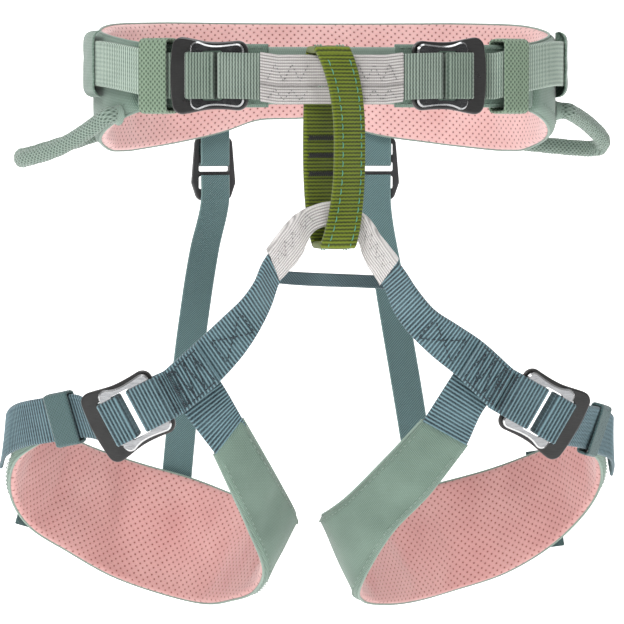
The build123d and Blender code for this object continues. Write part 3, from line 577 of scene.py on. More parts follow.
def sleeve_relief(run, fray, seed, height):
    """Ribbed tubular cloth, uneven, and frayed at both ends by `fray`: height, beat and reach."""
    rise, beat, reach = fray

    def lift(s, x, half):
        ribbed = 0.15 * np.cos(TURN * x / SLEEVE_RIB) + 0.04 * np.cos(TURN * s / SLEEVE_PICK)
        frayed = rise * np.sin(x * beat) * np.exp(-np.minimum(s, run.length - s) / reach)
        return ribbed + frayed + soft_waves(s, x, seed, size=9, height=height)

    return lift


# ---- Materials
def shade(color, factor, lift=0.0):
    return tuple(min(1, c * factor + lift) for c in color)


class Look:
    """A small builder for node materials."""

    def __init__(self, name, roughness, metallic=0.0, sheen=0.0, specular=0.4, coat=0.0):
        self.material = bpy.data.materials.new(name)
        self.material.use_nodes = True
        self.tree = self.material.node_tree
        self.inputs = self.tree.nodes["Principled BSDF"].inputs
        self.inputs["Roughness"].default_value = roughness
        self.inputs["Metallic"].default_value = metallic
        self.inputs["Sheen Weight"].default_value = sheen
        self.inputs["Specular IOR Level"].default_value = specular
        self.inputs["Coat Weight"].default_value = coat
        self.inputs["Coat Roughness"].default_value = 0.15

    def put(self, socket, value):
        """Joins a socket to an input, or sets the input; colours are given without alpha."""
        if isinstance(value, bpy.types.NodeSocket):
            self.tree.links.new(value, socket)
        else:
            socket.default_value = (*value, 1) if socket.type == "RGBA" else value

    def node(self, kind, output, inputs, **settings):
        """One output of a new shader node; inputs go by name or number."""
        node = self.tree.nodes.new(f"ShaderNode{kind}")
        for key, value in settings.items():
            setattr(node, key, value)
        for key, value in inputs.items():
            self.put(node.inputs[key], value)
        return node.outputs[output]

    def math(self, operation, a, b=0.0, c=0.0):
        return self.node("Math", 0, {0: a, 1: b, 2: c}, operation=operation)

    def weave(self):
        """Distance along and distance across the cloth in millimetres, and both with the face."""
        vector = self.node("Attribute", "Vector", {}, attribute_name="weave")
        along, across, _ = self.node("SeparateXYZ", 0, {0: vector}).node.outputs
        return along, across, vector

    def place(self):
        """The object's own coordinates in millimetres."""
        coords = self.node("TexCoord", "Object", {})
        return self.node("VectorMath", 0, {0: coords, "Scale": 1 / MM}, operation="SCALE")

    def wave(self, value, pitch, phase=0.0):
        """A cosine wave from 0 to 1 of a distance in millimetres."""
        turned = self.math("MULTIPLY_ADD", value, TURN / pitch, phase)
        return self.math("MULTIPLY_ADD", self.math("COSINE", turned), 0.5, 0.5)

    def noise(self, vector, size, detail):
        """Noise with features about `size` mm across."""
        return self.node("TexNoise", "Fac", {"Vector": vector, "Scale": 1 / size, "Detail": detail})

    def mix(self, factor, a, b, blend="MIX"):
        return self.node("Mix", 2, {0: factor, 6: a, 7: b}, data_type="RGBA", blend_type=blend)

    def range(self, value, low, high, to_low=0.0, to_high=1.0):
        inputs = dict(enumerate((value, low, high, to_low, to_high)))
        return self.node("MapRange", 0, inputs, clamp=True)

    def mottle(self, body, noise, low, high, amount, tone):
        """A colour mixed with a tone where noise is high, by at most `amount`."""
        return self.mix(self.range(noise, low, high, 0.0, amount), body, tone)

    def finish(self, color, *bumps):
        """Joins the colour and then the bumps, each a height, a distance in mm and a strength."""
        self.put(self.inputs["Base Color"], color)
        normal = {}
        for height, distance, strength in bumps:
            inputs = {"Distance": distance * MM, "Strength": strength, "Height": height}
            normal = {"Normal": self.node("Bump", 0, {**inputs, **normal})}
        self.put(self.inputs["Normal"], normal["Normal"])
        return self.material


def ribbed_look(name, light, dark, pitch, zig, shade_from=None, power=1.25):
    """Webbing: pale transverse ribs, dark valleys deepened by painted shade, fine yarns; painted shade past
    `shade_from`, where it folds.
    """
    look = Look(name, roughness=0.78, sheen=0.25, specular=0.3)
    along, across, vector = look.weave()
    saw = look.math("PINGPONG", look.math("DIVIDE", across, ZIG_PITCH), 0.5)
    shift = look.math("MULTIPLY", look.math("SUBTRACT", saw, 0.25), 8 * zig * math.pi)
    rib = look.wave(along, pitch, shift)
    yarn = look.wave(across, 0.55)
    grain = look.noise(vector, 0.9, 4)
    # The valleys' dark tone is the weave's own darker yarn, deepened with painted shade for the shadow
    # between the ribs.
    tone = look.mix(look.math("POWER", rib, power), dark, light)
    tone = look.mottle(tone, grain, 0.35, 0.7, 0.36, shade(light, 0.62))
    tone = look.mottle(tone, look.noise(vector, 14, 2), 0.3, 0.75, 0.12, shade(light, 1.25, 0.03))
    # Painted shade: from `shade_from` on, over the fold and the tail beyond it, the webbing is multiplied
    # darker.
    if shade_from is not None:
        folded = look.range(along, shade_from, shade_from + 7)
        shadow = look.mix(folded, (1.0, 1.0, 1.0), (0.50, 0.52, 0.50))
        tone = look.mix(1.0, tone, shadow, blend="MULTIPLY")
    return look.finish(tone, (yarn, 0.10, 0.5), (grain, 0.12, 0.6))


def twill_look(name, light, dark, pitch, slope=1.0, edge=None, edge_at=6.0):
    """Diagonal twill with optional paler selvedges."""
    look = Look(name, roughness=0.85, sheen=0.3, specular=0.25)
    along, across, vector = look.weave()
    rib = look.wave(look.math("MULTIPLY_ADD", across, slope, along), pitch)
    grain = look.noise(vector, 0.7, 4)
    body = look.mix(rib, dark, light)
    if edge is not None:
        body = look.mix(look.range(look.math("ABSOLUTE", across), edge_at, edge_at + 0.5), body, edge)
    body = look.mottle(body, grain, 0.35, 0.75, 0.35, shade(light, 0.6))
    return look.finish(body, (rib, 0.16, 0.5), (grain, 0.12, 0.5))


def shell_look(name, light, dark, pitch=0.85):
    """Fine ribbed shell fabric with slight mottling."""
    look = Look(name, roughness=0.88, sheen=0.35, specular=0.2)
    along, across, vector = look.weave()
    rib = look.wave(look.math("MULTIPLY_ADD", across, 0.35, along), pitch)
    grain = look.noise(vector, 0.6, 4)
    body = look.mix(look.math("MULTIPLY", rib, look.wave(across, pitch * 0.8)), dark, light)
    body = look.mottle(body, grain, 0.35, 0.75, 0.3, shade(light, 0.7))
    body = look.mottle(body, look.noise(vector, 22, 3), 0.35, 0.7, 0.22, shade(light, 1.22))
    return look.finish(body, (rib, 0.12, 0.55), (grain, 0.1, 0.5))


def lining_look(name, pink, pale, rose):
    """Soft perforated knit: rows of small dark holes in a pink face."""
    look = Look(name, roughness=0.92, sheen=0.45, specular=0.15)
    along, across, vector = look.weave()
    first_row = look.math("FLOOR", look.math("DIVIDE", across, DOT_ROW))
    spots = []
    for offset in (0.0, 1.0):
        row = look.math("ADD", first_row, offset)
        odd = look.math("PINGPONG", row, 1.0)
        shifted = look.math("MULTIPLY_ADD", odd, -DOT_ALONG / 2, along)
        ds = look.math("WRAP", shifted, DOT_ALONG / 2, -DOT_ALONG / 2)
        dx = look.math("SUBTRACT", across, look.math("MULTIPLY", row, DOT_ROW))
        square = look.math("ADD", look.math("MULTIPLY", ds, ds), look.math("MULTIPLY", dx, dx))
        spots.append(look.math("SQRT", square))
    distance = look.math("MINIMUM", *spots)
    hole = look.range(distance, 0.25, 0.48, 0.95, 0.0)
    halo = look.range(distance, 0.4, 1.3, 1.0, 0.0)
    grain = look.noise(vector, 0.5, 4)
    knit = look.math("MULTIPLY", look.wave(along, 0.9), look.wave(across, 0.875))
    body = look.mix(look.range(look.noise(vector, 26, 2), 0.3, 0.7), pink, pale)
    body = look.mix(look.math("MULTIPLY", halo, 0.12), body, rose)
    body = look.mottle(body, grain, 0.4, 0.75, 0.3, shade(pink, 0.78))
    dent = look.math("SUBTRACT", 1.0, hole)
    return look.finish(look.mix(hole, body, rose), (dent, 0.25, 0.6), (knit, 0.12, 0.5), (grain, 0.08, 0.5))


def sleeve_look(name, light, dark, crease=None):
    """Warm grey tubular sleeve with fine lengthwise ribs; with `crease`, a painted shadow along that line
    across it.
    """
    look = Look(name, roughness=0.85, sheen=0.3, specular=0.25)
    along, across, vector = look.weave()
    rib = look.wave(across, SLEEVE_RIB)
    pick = look.wave(along, SLEEVE_PICK)
    grain = look.noise(vector, 0.6, 4)
    body = look.mix(look.math("POWER", rib, 0.7), dark, light)
    body = look.mix(look.math("MULTIPLY", pick, 0.22), body, dark)
    # Painted shadow: a dark line along the crease.
    if crease is not None:
        fold = look.math("ABSOLUTE", look.math("SUBTRACT", across, crease))
        body = look.mix(look.range(fold, 0.25, 1.0, 0.6, 0.0), body, shade(dark, 0.6))
    body = look.mottle(body, grain, 0.35, 0.8, 0.35, shade(light, 0.8))
    return look.finish(body, (rib, 0.18, 0.6), (pick, 0.1, 0.4), (grain, 0.1, 0.5))


def basket_look(name, light, dark, pitch):
    """Coarse elastic: pale floats over dark rubber-filled valleys."""
    look = Look(name, roughness=0.85, sheen=0.3, specular=0.25)
    along, across, vector = look.weave()
    row = look.math("FLOOR", look.math("DIVIDE", across, pitch * 0.5))
    floats = look.math("POWER", look.wave(along, pitch, look.math("MULTIPLY", row, math.pi)), 0.7)
    valley = look.math("MULTIPLY", look.wave(across, pitch * 0.5, math.pi), 0.4)
    pale = look.math("MULTIPLY", floats, look.math("SUBTRACT", 1.0, valley))
    grain = look.noise(vector, 0.5, 4)
    body = look.mottle(look.mix(pale, dark, light), grain, 0.35, 0.8, 0.4, shade(light, 0.6))
    return look.finish(body, (pale, 0.25, 0.6), (grain, 0.1, 0.5))


def thread_look(name, color, dark=0.55):
    """Twisted sewing thread."""
    look = Look(name, roughness=0.6, sheen=0.2, specular=0.4)
    along, around, _ = look.weave()
    twist = look.wave(look.math("MULTIPLY_ADD", around, 0.16, along), 0.5)
    return look.finish(look.mix(twist, shade(color, dark), color), (twist, 0.06, 0.6))


def plate_look(name, dark, edge, roughness, metallic, axis, coat=0.0, scratch_and_glint=0.35):
    """Buckle metal: flats in one tone, chamfers and rims brighter as a painted highlight, fine brushed
    scratches brightened partly as painted glints.
    """
    look = Look(name, roughness=roughness, metallic=metallic, coat=coat, specular=0.5)
    normal = look.node("NewGeometry", "True Normal", {})
    facing = look.node("VectorMath", "Value", {0: normal, 1: tuple(axis)}, operation="DOT_PRODUCT")
    tilt = look.math("ABSOLUTE", facing)
    # Painted highlight: faces tilted part way from the buckle's axis, its chamfers and rims, take the
    # brighter `edge` colour.
    rim = look.math("MULTIPLY", look.range(tilt, 0.5, 0.64), look.range(tilt, 0.74, 0.86, 1.0, 0.0))
    vector = look.place()
    stretched = look.node("Mapping", 0, {"Scale": (0.25, 0.25, 3.0), "Vector": vector})
    brushed = look.noise(stretched, 0.8, 5)
    blotch = look.range(look.noise(vector, 5, 3), 0.3, 0.75, max(0.05, roughness - 0.07), roughness + 0.12)
    look.put(look.inputs["Roughness"], blotch)
    # Brushed streaks: real scratches, and also painted glints that stand in for the highlights on the metal.
    body = look.mottle(dark, brushed, 0.35, 0.7, scratch_and_glint, shade(dark, 1.8, 0.02))
    return look.finish(look.mix(rim, body, edge), (brushed, 0.02, 0.25))


def moulded_look(name, color, rough=0.45):
    """Moulded black plastic with a fine grain and uneven gloss."""
    look = Look(name, roughness=rough, specular=0.5)
    vector = look.place()
    grain = look.noise(vector, 0.5, 4)
    blotch = look.noise(vector, 6, 3)
    look.put(look.inputs["Roughness"], look.range(blotch, 0.3, 0.7, rough - 0.08, rough + 0.12))
    body = look.mottle(color, blotch, 0.35, 0.75, 0.5, shade(color, 1.9, 0.01))
    return look.finish(body, (grain, 0.05, 0.35))


SAGE, SAGE_DARK = (0.265, 0.365, 0.30), (0.095, 0.15, 0.118)
SHELL = shell_look("shell_twill", SAGE, SAGE_DARK)
PIPING = shell_look("shell_binding", (0.33, 0.43, 0.37), (0.21, 0.29, 0.24), 0.7)
LINING = lining_look("lining_knit", (0.74, 0.425, 0.41), (0.82, 0.52, 0.505), (0.22, 0.045, 0.04))
# Painted shade: the leg pads' lining is the waist lining made darker, standing in for the light falling off
# lower down.
LEG_LINING_PAINTED_SHADE = lining_look(
    "leg_lining_knit_painted_shade", (0.60, 0.31, 0.295), (0.67, 0.385, 0.365), (0.24, 0.055, 0.048)
)
WAIST_LIGHT, WAIST_DARK = (0.50, 0.61, 0.52), (0.055, 0.10, 0.075)
# Painted shade: the tie-in webbing is the waist webbing made darker, standing in for the shade on its angled
# faces.
TIE_WEB_PAINTED_SHADE = ribbed_look("tie_in_webbing", shade(WAIST_LIGHT, 0.62), shade(WAIST_DARK, 0.5), WAIST_RIB, 0.06)
# The near-black valley tone of the blue webbing holds painted shade.
LEG_DARK = (0.003, 0.008, 0.013)
LEG_WEB = ribbed_look("leg_webbing", (0.20, 0.335, 0.38), LEG_DARK, LEG_RIB, 0.03, power=1.9)
LEG_STRAP_LOOK = ribbed_look("leg_strap_webbing", (0.185, 0.305, 0.345), LEG_DARK, LEG_RIB, 0.03, power=1.9)
# The tie-in sleeve's painted crease shadow runs 2.9 mm below its middle.
SLEEVE = sleeve_look("tie_in_sleeve", (0.62, 0.59, 0.58), (0.20, 0.19, 0.18), crease=-2.9)
# Painted light: the leg bridge is the sleeve's grey cloth made paler, standing in for the strong light on it.
BRIDGE_CLOTH_PAINTED_LIGHT = sleeve_look("leg_bridge", (0.76, 0.73, 0.72), (0.30, 0.285, 0.275))
BELAY = ribbed_look("belay_webbing", (0.17, 0.225, 0.006), (0.004, 0.01, 0.0003), BELAY_RIB, 0.05, power=1.2)
ELASTIC = basket_look("waist_elastic", (0.31, 0.42, 0.30), (0.055, 0.095, 0.06), 2.3)
LEG_ELASTIC = basket_look("leg_elastic", (0.105, 0.18, 0.18), (0.045, 0.085, 0.085), 1.5)
RISER = twill_look(
    "riser_twill", (0.165, 0.27, 0.275), (0.05, 0.10, 0.105), 1.15, 1.0, (0.18, 0.29, 0.29), 6.3
)
CROSS = twill_look("cross_strap", (0.12, 0.18, 0.20), (0.03, 0.05, 0.06), 1.2, 0.8)
BRAID = basket_look("gear_braid", (0.38, 0.48, 0.41), (0.045, 0.08, 0.06), 1.9)
CUFFS = shell_look("cuff_fabric", (0.36, 0.45, 0.39), (0.23, 0.31, 0.26), 0.9)
FAINT_THREAD = thread_look("pale_grey_thread", (0.26, 0.25, 0.25))
DARK_THREAD = thread_look("grey_thread", (0.12, 0.12, 0.125))
TEAL_THREAD = thread_look("teal_thread", (0.10, 0.42, 0.28))
SAGE_THREAD = thread_look("sage_thread", (0.27, 0.36, 0.30), 0.75)
NAVY_THREAD = thread_look("navy_thread", (0.02, 0.036, 0.05))
BLACK_THREAD = thread_look("black_thread", (0.012, 0.014, 0.012))
PLASTIC = moulded_look("adjuster_plastic", (0.018, 0.018, 0.02))


# ---- Padded pieces
class Pad:
    """A padded band. Places q round its section: 0 to 1 up the outer face, 1 to 2 over the upper rim,
    2 to 3 down the inner face, 3 to 4 round the lower rim, and so on round again."""

    def __init__(self, run, thick):
        self.run, self.rim = run, thick / 2

    def section(self, s, q):
        """Distance along and across, level and turn from the outer face for each s and q."""
        s, q = np.meshgrid(s, np.mod(q, 4), indexing="ij")
        half = self.run.at(s.ravel(), self.run.half).reshape(s.shape) - self.rim
        face = -1 + 2 * np.clip(q, 0, 1) - 2 * np.clip(q - 2, 0, 1)
        turn = math.pi * (np.clip(q - 1, 0, 1) + np.clip(q - 3, 0, 1))
        near_end = np.clip(np.minimum(s, self.run.length - s) / 5, 0, 1)
        thin = 0.12 + 0.88 * np.sqrt(1 - (1 - near_end) ** 2)
        return s, half * face + self.rim * np.sin(turn), self.rim * thin * np.cos(turn), turn

    def points(self, s, q, lift=0.0):
        s, x, level, turn = self.section(s, q)
        return self.run.point(s, x + lift * np.sin(turn), level + lift * np.cos(turn))


# Coarse cover of a pad in the cloth simulation: spacing along it, places on a face and on a rim.
PUFF_STEP, PUFF_FACE, PUFF_RIM, PUFF_FRAMES = 4.0, 12, 3, 20
CLOTH = {
    "quality": 6, "mass": 0.2, "tension_stiffness": 12, "compression_stiffness": 12, "shear_stiffness": 6,
    "bending_stiffness": 0.6, "use_pressure": True, "uniform_pressure_force": 4.0,
    "vertex_group_mass": "sewn",
}


def puffed(name, pad, cap):
    """Cloth simulation of a pad's cover: how far each coarse point of it moves out, in mm."""
    s = pad.run.steps(PUFF_STEP)
    counts = (PUFF_FACE, PUFF_RIM, PUFF_FACE, PUFF_RIM)
    q = np.concatenate([i + np.linspace(0, 1, n, endpoint=False) for i, n in enumerate(counts)])
    rings = pad.points(s, q)
    turn = pad.section(s, q)[-1]
    trial = skin(f"{name}_trial", rings)
    at_end = (np.arange(len(s)) < 2) | (np.arange(len(s)) > len(s) - 3)
    held = (np.abs(np.sin(turn)) > 0.05) | at_end[:, None]
    group = trial.vertex_groups.new(name="sewn")
    group.add([int(i) for i in np.flatnonzero(held)], 1.0, "REPLACE")
    cloth = trial.modifiers.new("Cloth", "CLOTH")
    for key, value in CLOTH.items():
        setattr(cloth.settings, key, value)
    cloth.settings.effector_weights.gravity = 0
    cloth.point_cache.frame_start, cloth.point_cache.frame_end = 1, PUFF_FRAMES
    scene = bpy.context.scene
    for number in range(1, PUFF_FRAMES + 1):
        scene.frame_set(number)
    shape = trial.evaluated_get(bpy.context.evaluated_depsgraph_get()).to_mesh()
    moved = np.empty(len(shape.vertices) * 3)
    shape.vertices.foreach_get("co", moved)
    scene.frame_set(1)
    bpy.data.objects.remove(trial, do_unlink=True)
    shift = moved.reshape(rings.shape) / MM - rings
    swell = np.sum(shift * pad.run.at(s, pad.run.out)[:, None], -1) * np.cos(turn)
    print(f"PUFF {name}: from {swell.min():.2f} to {swell.max():.2f} mm")
    return s, q, np.clip(swell, -0.2, cap)


def swelling_rows(table, s):
    """The coarse swelling at finer distances, with the first place repeated to close the section."""
    coarse_s, coarse_q, swell = table
    along = smooth(coarse_s, swell, s)
    return np.append(coarse_q, 4.0), np.concatenate([along, along[:, :1]], 1)


def swelling(table, s, q):
    """The swelling at every pair of a distance and a place, smooth both ways."""
    knots, rows = swelling_rows(table, s)
    return smooth(knots, rows.T, np.mod(q, 4)).T


def swelling_at(table, s, q):
    """The swelling at single points."""
    knots, rows = swelling_rows(table, s)
    return np.array([np.interp(a, knots, row) for a, row in zip(np.mod(q, 4), rows)])


COVER_WALL, PIPING_RADIUS, LINING_STEP, SHELL_STEP = 0.7, 0.62, 0.62, 1.4


def pad_cover(name, pad, table, q, step, look, seed, relief=None):
    """One fabric of a pad: a thin closed sheet over part of its section."""
    s = pad.run.steps(step)
    grid_s, x, level, turn = pad.section(s, q)
    flat = np.cos(turn) ** 6
    lift = swelling(table, s, q) + soft_waves(grid_s, x, seed) * flat
    detail = relief(grid_s, x) * flat if relief else 0
    rings = two_faced(pad.points(s, q, lift + detail), pad.points(s, q, lift - COVER_WALL))
    weave = weave_map(grid_s, x, np.sign(level))
    return skin(name, rings, weave=two_faced(weave, weave), look=look)


def places(*parts):
    """Places q round a section from (start, stop, count) stretches."""
    last = len(parts) - 1
    return np.concatenate([np.linspace(a, b, n, endpoint=i == last) for i, (a, b, n) in enumerate(parts)])


def dress_pad(name, pad, body, cap, nodes, seed, lining_cloth=LINING):
    """Shell, lining and the thin binding between them; gives back the swelling."""
    table = puffed(name, pad, cap)
    height = 2 * (float(np.mean(pad.run.half)) - pad.rim)
    q = places((-0.5, 0, 6), (0, 1, int(height / SHELL_STEP)), (1, 1.5, 6))
    shell = pad_cover(f"{name}_shell_cover", pad, table, q, SHELL_STEP, SHELL, seed)
    q = places((1.5, 2, 7), (2.0, 3.0, int(height / LINING_STEP)), (3, 3.5, 7))
    lining = pad_cover(f"{name}_lining_cover", pad, table, q, LINING_STEP, lining_cloth, seed, perforations)
    finish_piece(shell, body, "shell_fabric", *nodes[:2])
    finish_piece(lining, body, "lining_fabric", *nodes[2:])
    s = np.linspace(0.6, pad.run.length - 0.6, int(pad.run.length / 1.2))
    for label, q in (("upper", 1.46), ("lower", 3.54)):
        rings, angle = tube_rings(pad.points(s, np.array([q]), 0.12)[:, 0], PIPING_RADIUS, 10)
        weave = weave_map(s[:, None], angle * PIPING_RADIUS, 1.0)
        piping = skin(f"{name}_{label}_binding", rings, weave=weave, look=PIPING)
        finish_piece(piping, body, "shell_fabric")
    return table


def pad_seam(name, pad, table, inset, body):
    """Rows of stitches along both long edges of a pad's outer face."""
    s = np.arange(8.0, pad.run.length - 8.0, 3.0)
    ends = []
    for at in (s, s + 2.0):
        half = pad.run.at(at, pad.run.half)
        rows = []
        for edge in (-1, 1):
            x = edge * (half - inset)
            lift = swelling_at(table, at, (x / (half - pad.rim) + 1) / 2)
            rows.append(pad.run.point(at, x, pad.rim + lift))
        ends.append(np.vstack(rows))
    normals = np.tile(pad.run.at(s, pad.run.out), (2, 1))
    finish_piece(threads(name, *ends, normals, SAGE_THREAD, radius=0.24), body, "shell_fabric")


def edge_height(y, x):
    """Upper and lower edge of the padded waist band."""
    knots, heights = [-46, -22, 4, 32, 60], np.array([WING_HALF, 17.6, 20.7, 24.0, BAND_TOP])
    top = smooth(knots, heights, np.clip(y, -46, 60))
    low = smooth([-46, -8, 30], np.array([-WING_HALF, -25, HIP_LOW]), np.clip(y, -46, 30))
    knots = [-88, -62, -38, -26, -8, 11, 26, 58, 88]
    heights = np.array([HIP_LOW, -29, -23.5, -19.2, BACK_LOW, BACK_LOW, -24, -29.5, HIP_LOW])
    arch = smooth(knots, heights, np.clip(x, -88, 88))
    return top, np.where((y > 28) & (np.abs(x) < 88), np.maximum(low, arch), low)


# ---- Waist band
def waist_band():
    u = np.linspace(BAND_END, 2 * HALF_ROUND - BAND_END, 400)
    side = np.where(u < HALF_ROUND, 1, -1)
    run = np.where(u < HALF_ROUND, u, 2 * HALF_ROUND - u)
    outer = oval(run, 0, side)
    top, low = averaged(edge_height(outer[:, 1], outer[:, 0]), np.hanning(17), "edge").T
    centre = oval(run, -WAIST_PAD / 2, side) + np.outer((top + low) / 2, UP)
    pad = Pad(Run(centre, UP, (top - low) / 2, out=oval_out(run, side)), WAIST_PAD)
    nodes = ("waist_shell", "waist_foam", "waist_lining")
    table = dress_pad("waist", pad, "root", 1.1, nodes, seed=3)
    pad_seam("waist_shell_seam", pad, table, 4.6, "root")


def wings_and_flap():
    for side, hand in SIDES.items():
        start, stop = FLAP_ENDS[side] + 2, BAND_END - 0.4
        points = oval_path(start, stop, -2.4, side)
        out = oval_out(np.linspace(start, stop, len(points)), side)
        run = Run(points, UP, WING_HALF - 0.2, out=out)
        wing = band(f"{hand}_wing_cover", run, 3.0, SHELL, uneven(5, 0.12), step=0.9, columns=34)
        finish_piece(wing, "root", "shell_fabric", f"{hand}_wing")
        edges = [[(1.5, x), (run.length - 1.5, x)] for x in (-WING_HALF + 1.7, WING_HALF - 1.7)]
        seam = sewn(f"{hand}_wing_seam", run, edges, 1.5, SAGE_THREAD, radius=0.22)
        finish_piece(seam, "root", "shell_fabric")
    points = front_path({side: end + 4 for side, end in FLAP_ENDS.items()}, -2.3)
    run = Run(points, UP, WING_HALF - 1.5, out=unit(points * (0.6, 1, 0)))
    flap = band("front_flap_cover", run, 1.4, CUFFS, uneven(7, 0.1), step=0.9, columns=30)
    finish_piece(flap, "root", "shell_fabric", "front_flap")


def strap_covers():
    """Hollow covers over the straps' sewn ends: flat in the middle, rolled in at the edges."""
    outer, end = np.linspace(COVER_FRONT, COVER_REAR, 22), np.linspace(COVER_REAR + 0.6, COVER_END, 5)
    along = np.concatenate([outer, end])
    high = np.linspace(COVER_LOW, COVER_HIGH, 44)[:, None]
    middle = (COVER_LOW + COVER_HIGH) / 2
    drop = np.clip(np.abs(high - middle) - COVER_FLAT_HALF, 0, COVER_BEND) / COVER_BEND
    level = COVER_LEVEL - COVER_ROLL * (1 - np.sqrt(1 - drop**2 * 0.98))
    rear = np.clip((along - COVER_REAR) / (COVER_END - COVER_REAR), 0, 1)
    waves = soft_waves(high, along, 9, size=12, height=0.12)
    levels = level * (1 - rear) + COVER_END_LEVEL * rear + waves
    weave = weave_map(along, high, 1.0)
    for side, hand in SIDES.items():
        faces = [oval(along, levels - wall, side) + high[..., None] * UP for wall in (0, STRAP_COVER_WALL)]
        name = f"{hand}_strap_cover_fabric"
        cover = skin(name, two_faced(*faces), weave=two_faced(weave, weave), look=SHELL)
        finish_piece(cover, "root", "shell_fabric", f"{hand}_strap_cover")


# ---- Waist webbing
WAIST_RIBS = ribs(WAIST_RIB, 0.24, zig=0.06)


def waist_straps():
    for side, hand in SIDES.items():
        at, paths = BUCKLE_AT[side], []
        spans = ((STRAP_ROOT, at + 22, STRAP_LEVEL), (at + 21, STRAP_ROOT - 18, TAIL_LEVEL))
        for start, stop, level in spans:
            path = oval_path(start, stop, level, side)
            climb = np.clip((np.linspace(start, stop, len(path)) - at - RISE_START) / RISE_SPAN, 0, 1)
            path[:, 2] = HIP_RISE * np.sin(math.pi / 2 * climb)
            paths.append(path)
        outer, tail = paths
        run = planar(np.vstack([outer, routed(buckle_place(side), FOLD_ROUTE), tail]), UP, WEB_HALF)
        run.out = run.out * side
        # Where the painted fold shade starts, 4 mm before the webbing reaches the buckle.
        shade_from = lengths(outer)[-1] - 4
        look = ribbed_look(f"{hand}_waist_webbing", WAIST_LIGHT, WAIST_DARK, WAIST_RIB, 0.06, shade_from)
        strap = band(f"{hand}_waist_strap_webbing", run, WEB_THICK, look, WAIST_RIBS, step=0.36, columns=26)
        finish_piece(strap, "root", "waist_webbing", f"{hand}_waist_strap")


def keeper(node, middle, axes, loop, half, radius, slot, *cloth):
    """Closed elastic loop round a strap; axes run across the strap, out of it and along it."""
    across, out, along = axes
    half_wide, half_deep, bend = loop
    corners = [(half_wide * a, half_deep * b, 0) for a, b in ((1, -1), (1, 1), (-1, 1), (-1, -1))]
    points = [middle + across * a + out * b for a, b, _ in rounded(corners, bend, closed=True)]
    run = planar(points, along, half, radius=radius, closed=True).outwards(middle)
    finish_piece(band(f"{node}_elastic", run, 0.95, *cloth), node, slot, node)


def waist_keepers():
    low, high = -4.82, STRAP_LEVEL + 1.83
    for side, hand in SIDES.items():
        at = KEEPER_AT[side]
        axes = UP, oval_out(at, side), unit(oval(at + 1, 0, side) - oval(at - 1, 0, side))
        cloth = ELASTIC, basket(2.3, 0.34), 0.3, 40
        loop = 15.7, (high - low) / 2, 2.4
        middle = oval(at, (low + high) / 2, side)
        keeper(f"{hand}_waist_keeper", middle, axes, loop, 7.0, 0.4, "waist_elastic", *cloth)


def sag(x):
    """How far the tie-in hangs below the buckles' line at a place across the front."""
    span = np.interp(x, [-52, -38, -30, 16, 26, 40], [0, 0.25, 1, 1, 0.25, 0])
    return TIE_SAG * span


def tie_in():
    """The doubled webbing between the buckles, as one closed loop."""
    loops = {}
    for side in SIDES:
        near = SLEEVE_ENDS[side] + 0.8
        over = routed(buckle_place(side), [(16, FOLD_LEVEL), *LOOP_ROUTE, (17.2, -1.3)])
        front = oval_path(TIE_MIDDLE, near, SLEEVE_LEVEL + TIE_PLY, side)
        rear = oval_path(near, TIE_MIDDLE, SLEEVE_LEVEL - TIE_PLY, side)
        loops[side] = np.vstack([front, over, rear])
    points = np.vstack([loops[1], loops[-1][::-1]])
    run = planar(points, UP, WEB_HALF - 0.1, radius=0.9, closed=True)
    run.centre[:, 2] -= sag(run.centre[:, 0])
    webbing = band("tie_in_webbing_loop", run, WEB_THICK, TIE_WEB_PAINTED_SHADE, WAIST_RIBS, step=0.36, columns=26)
    finish_piece(webbing, "root", "waist_webbing", "tie_in_webbing")


def sleeve():
    """Grey sleeve over both plies of the tie-in webbing, sewn through in zigzags."""
    points = front_path(SLEEVE_ENDS, SLEEVE_LEVEL)
    out = unit(points - (0, FLAT_CENTRE, 0))
    points[:, 2] -= sag(points[:, 0])
    run = Run(points, UP, 10.6, out=out)
    centre = SLEEVE_ENDS[-1] + FRONT_X
    ribbed = sleeve_relief(run, (0.35, 2.1, 0.9), 11, 0.2)

    def cloth(s, x, half):
        crease = -0.45 * np.exp(-(((x + 2.9 - 0.02 * (s - 30)) / 0.8) ** 2))
        pressed = -0.25 * np.exp(-(((s - centre) / 7.5) ** 4))
        return ribbed(s, x, half) + crease + pressed

    cover = band("tie_in_sleeve_cloth", run, 4.9, SLEEVE, cloth, step=0.36, columns=60)
    finish_piece(cover, "root", "sleeve_fabric", "tie_in_sleeve")
    spans = ((3.0, centre - 9), (centre + 9, run.length - 3.0))
    lines = [zigzag(*span, *rows, 3.3) for span in spans for rows in ((-0.9, 6.4), (-9.0, -4.4))]
    stitched = sewn("tie_in_sleeve_stitches", run, lines, 2.47, DARK_THREAD, stitch=0.9, gap=0.9, radius=0.17)
    finish_piece(stitched, "root", "sleeve_fabric")


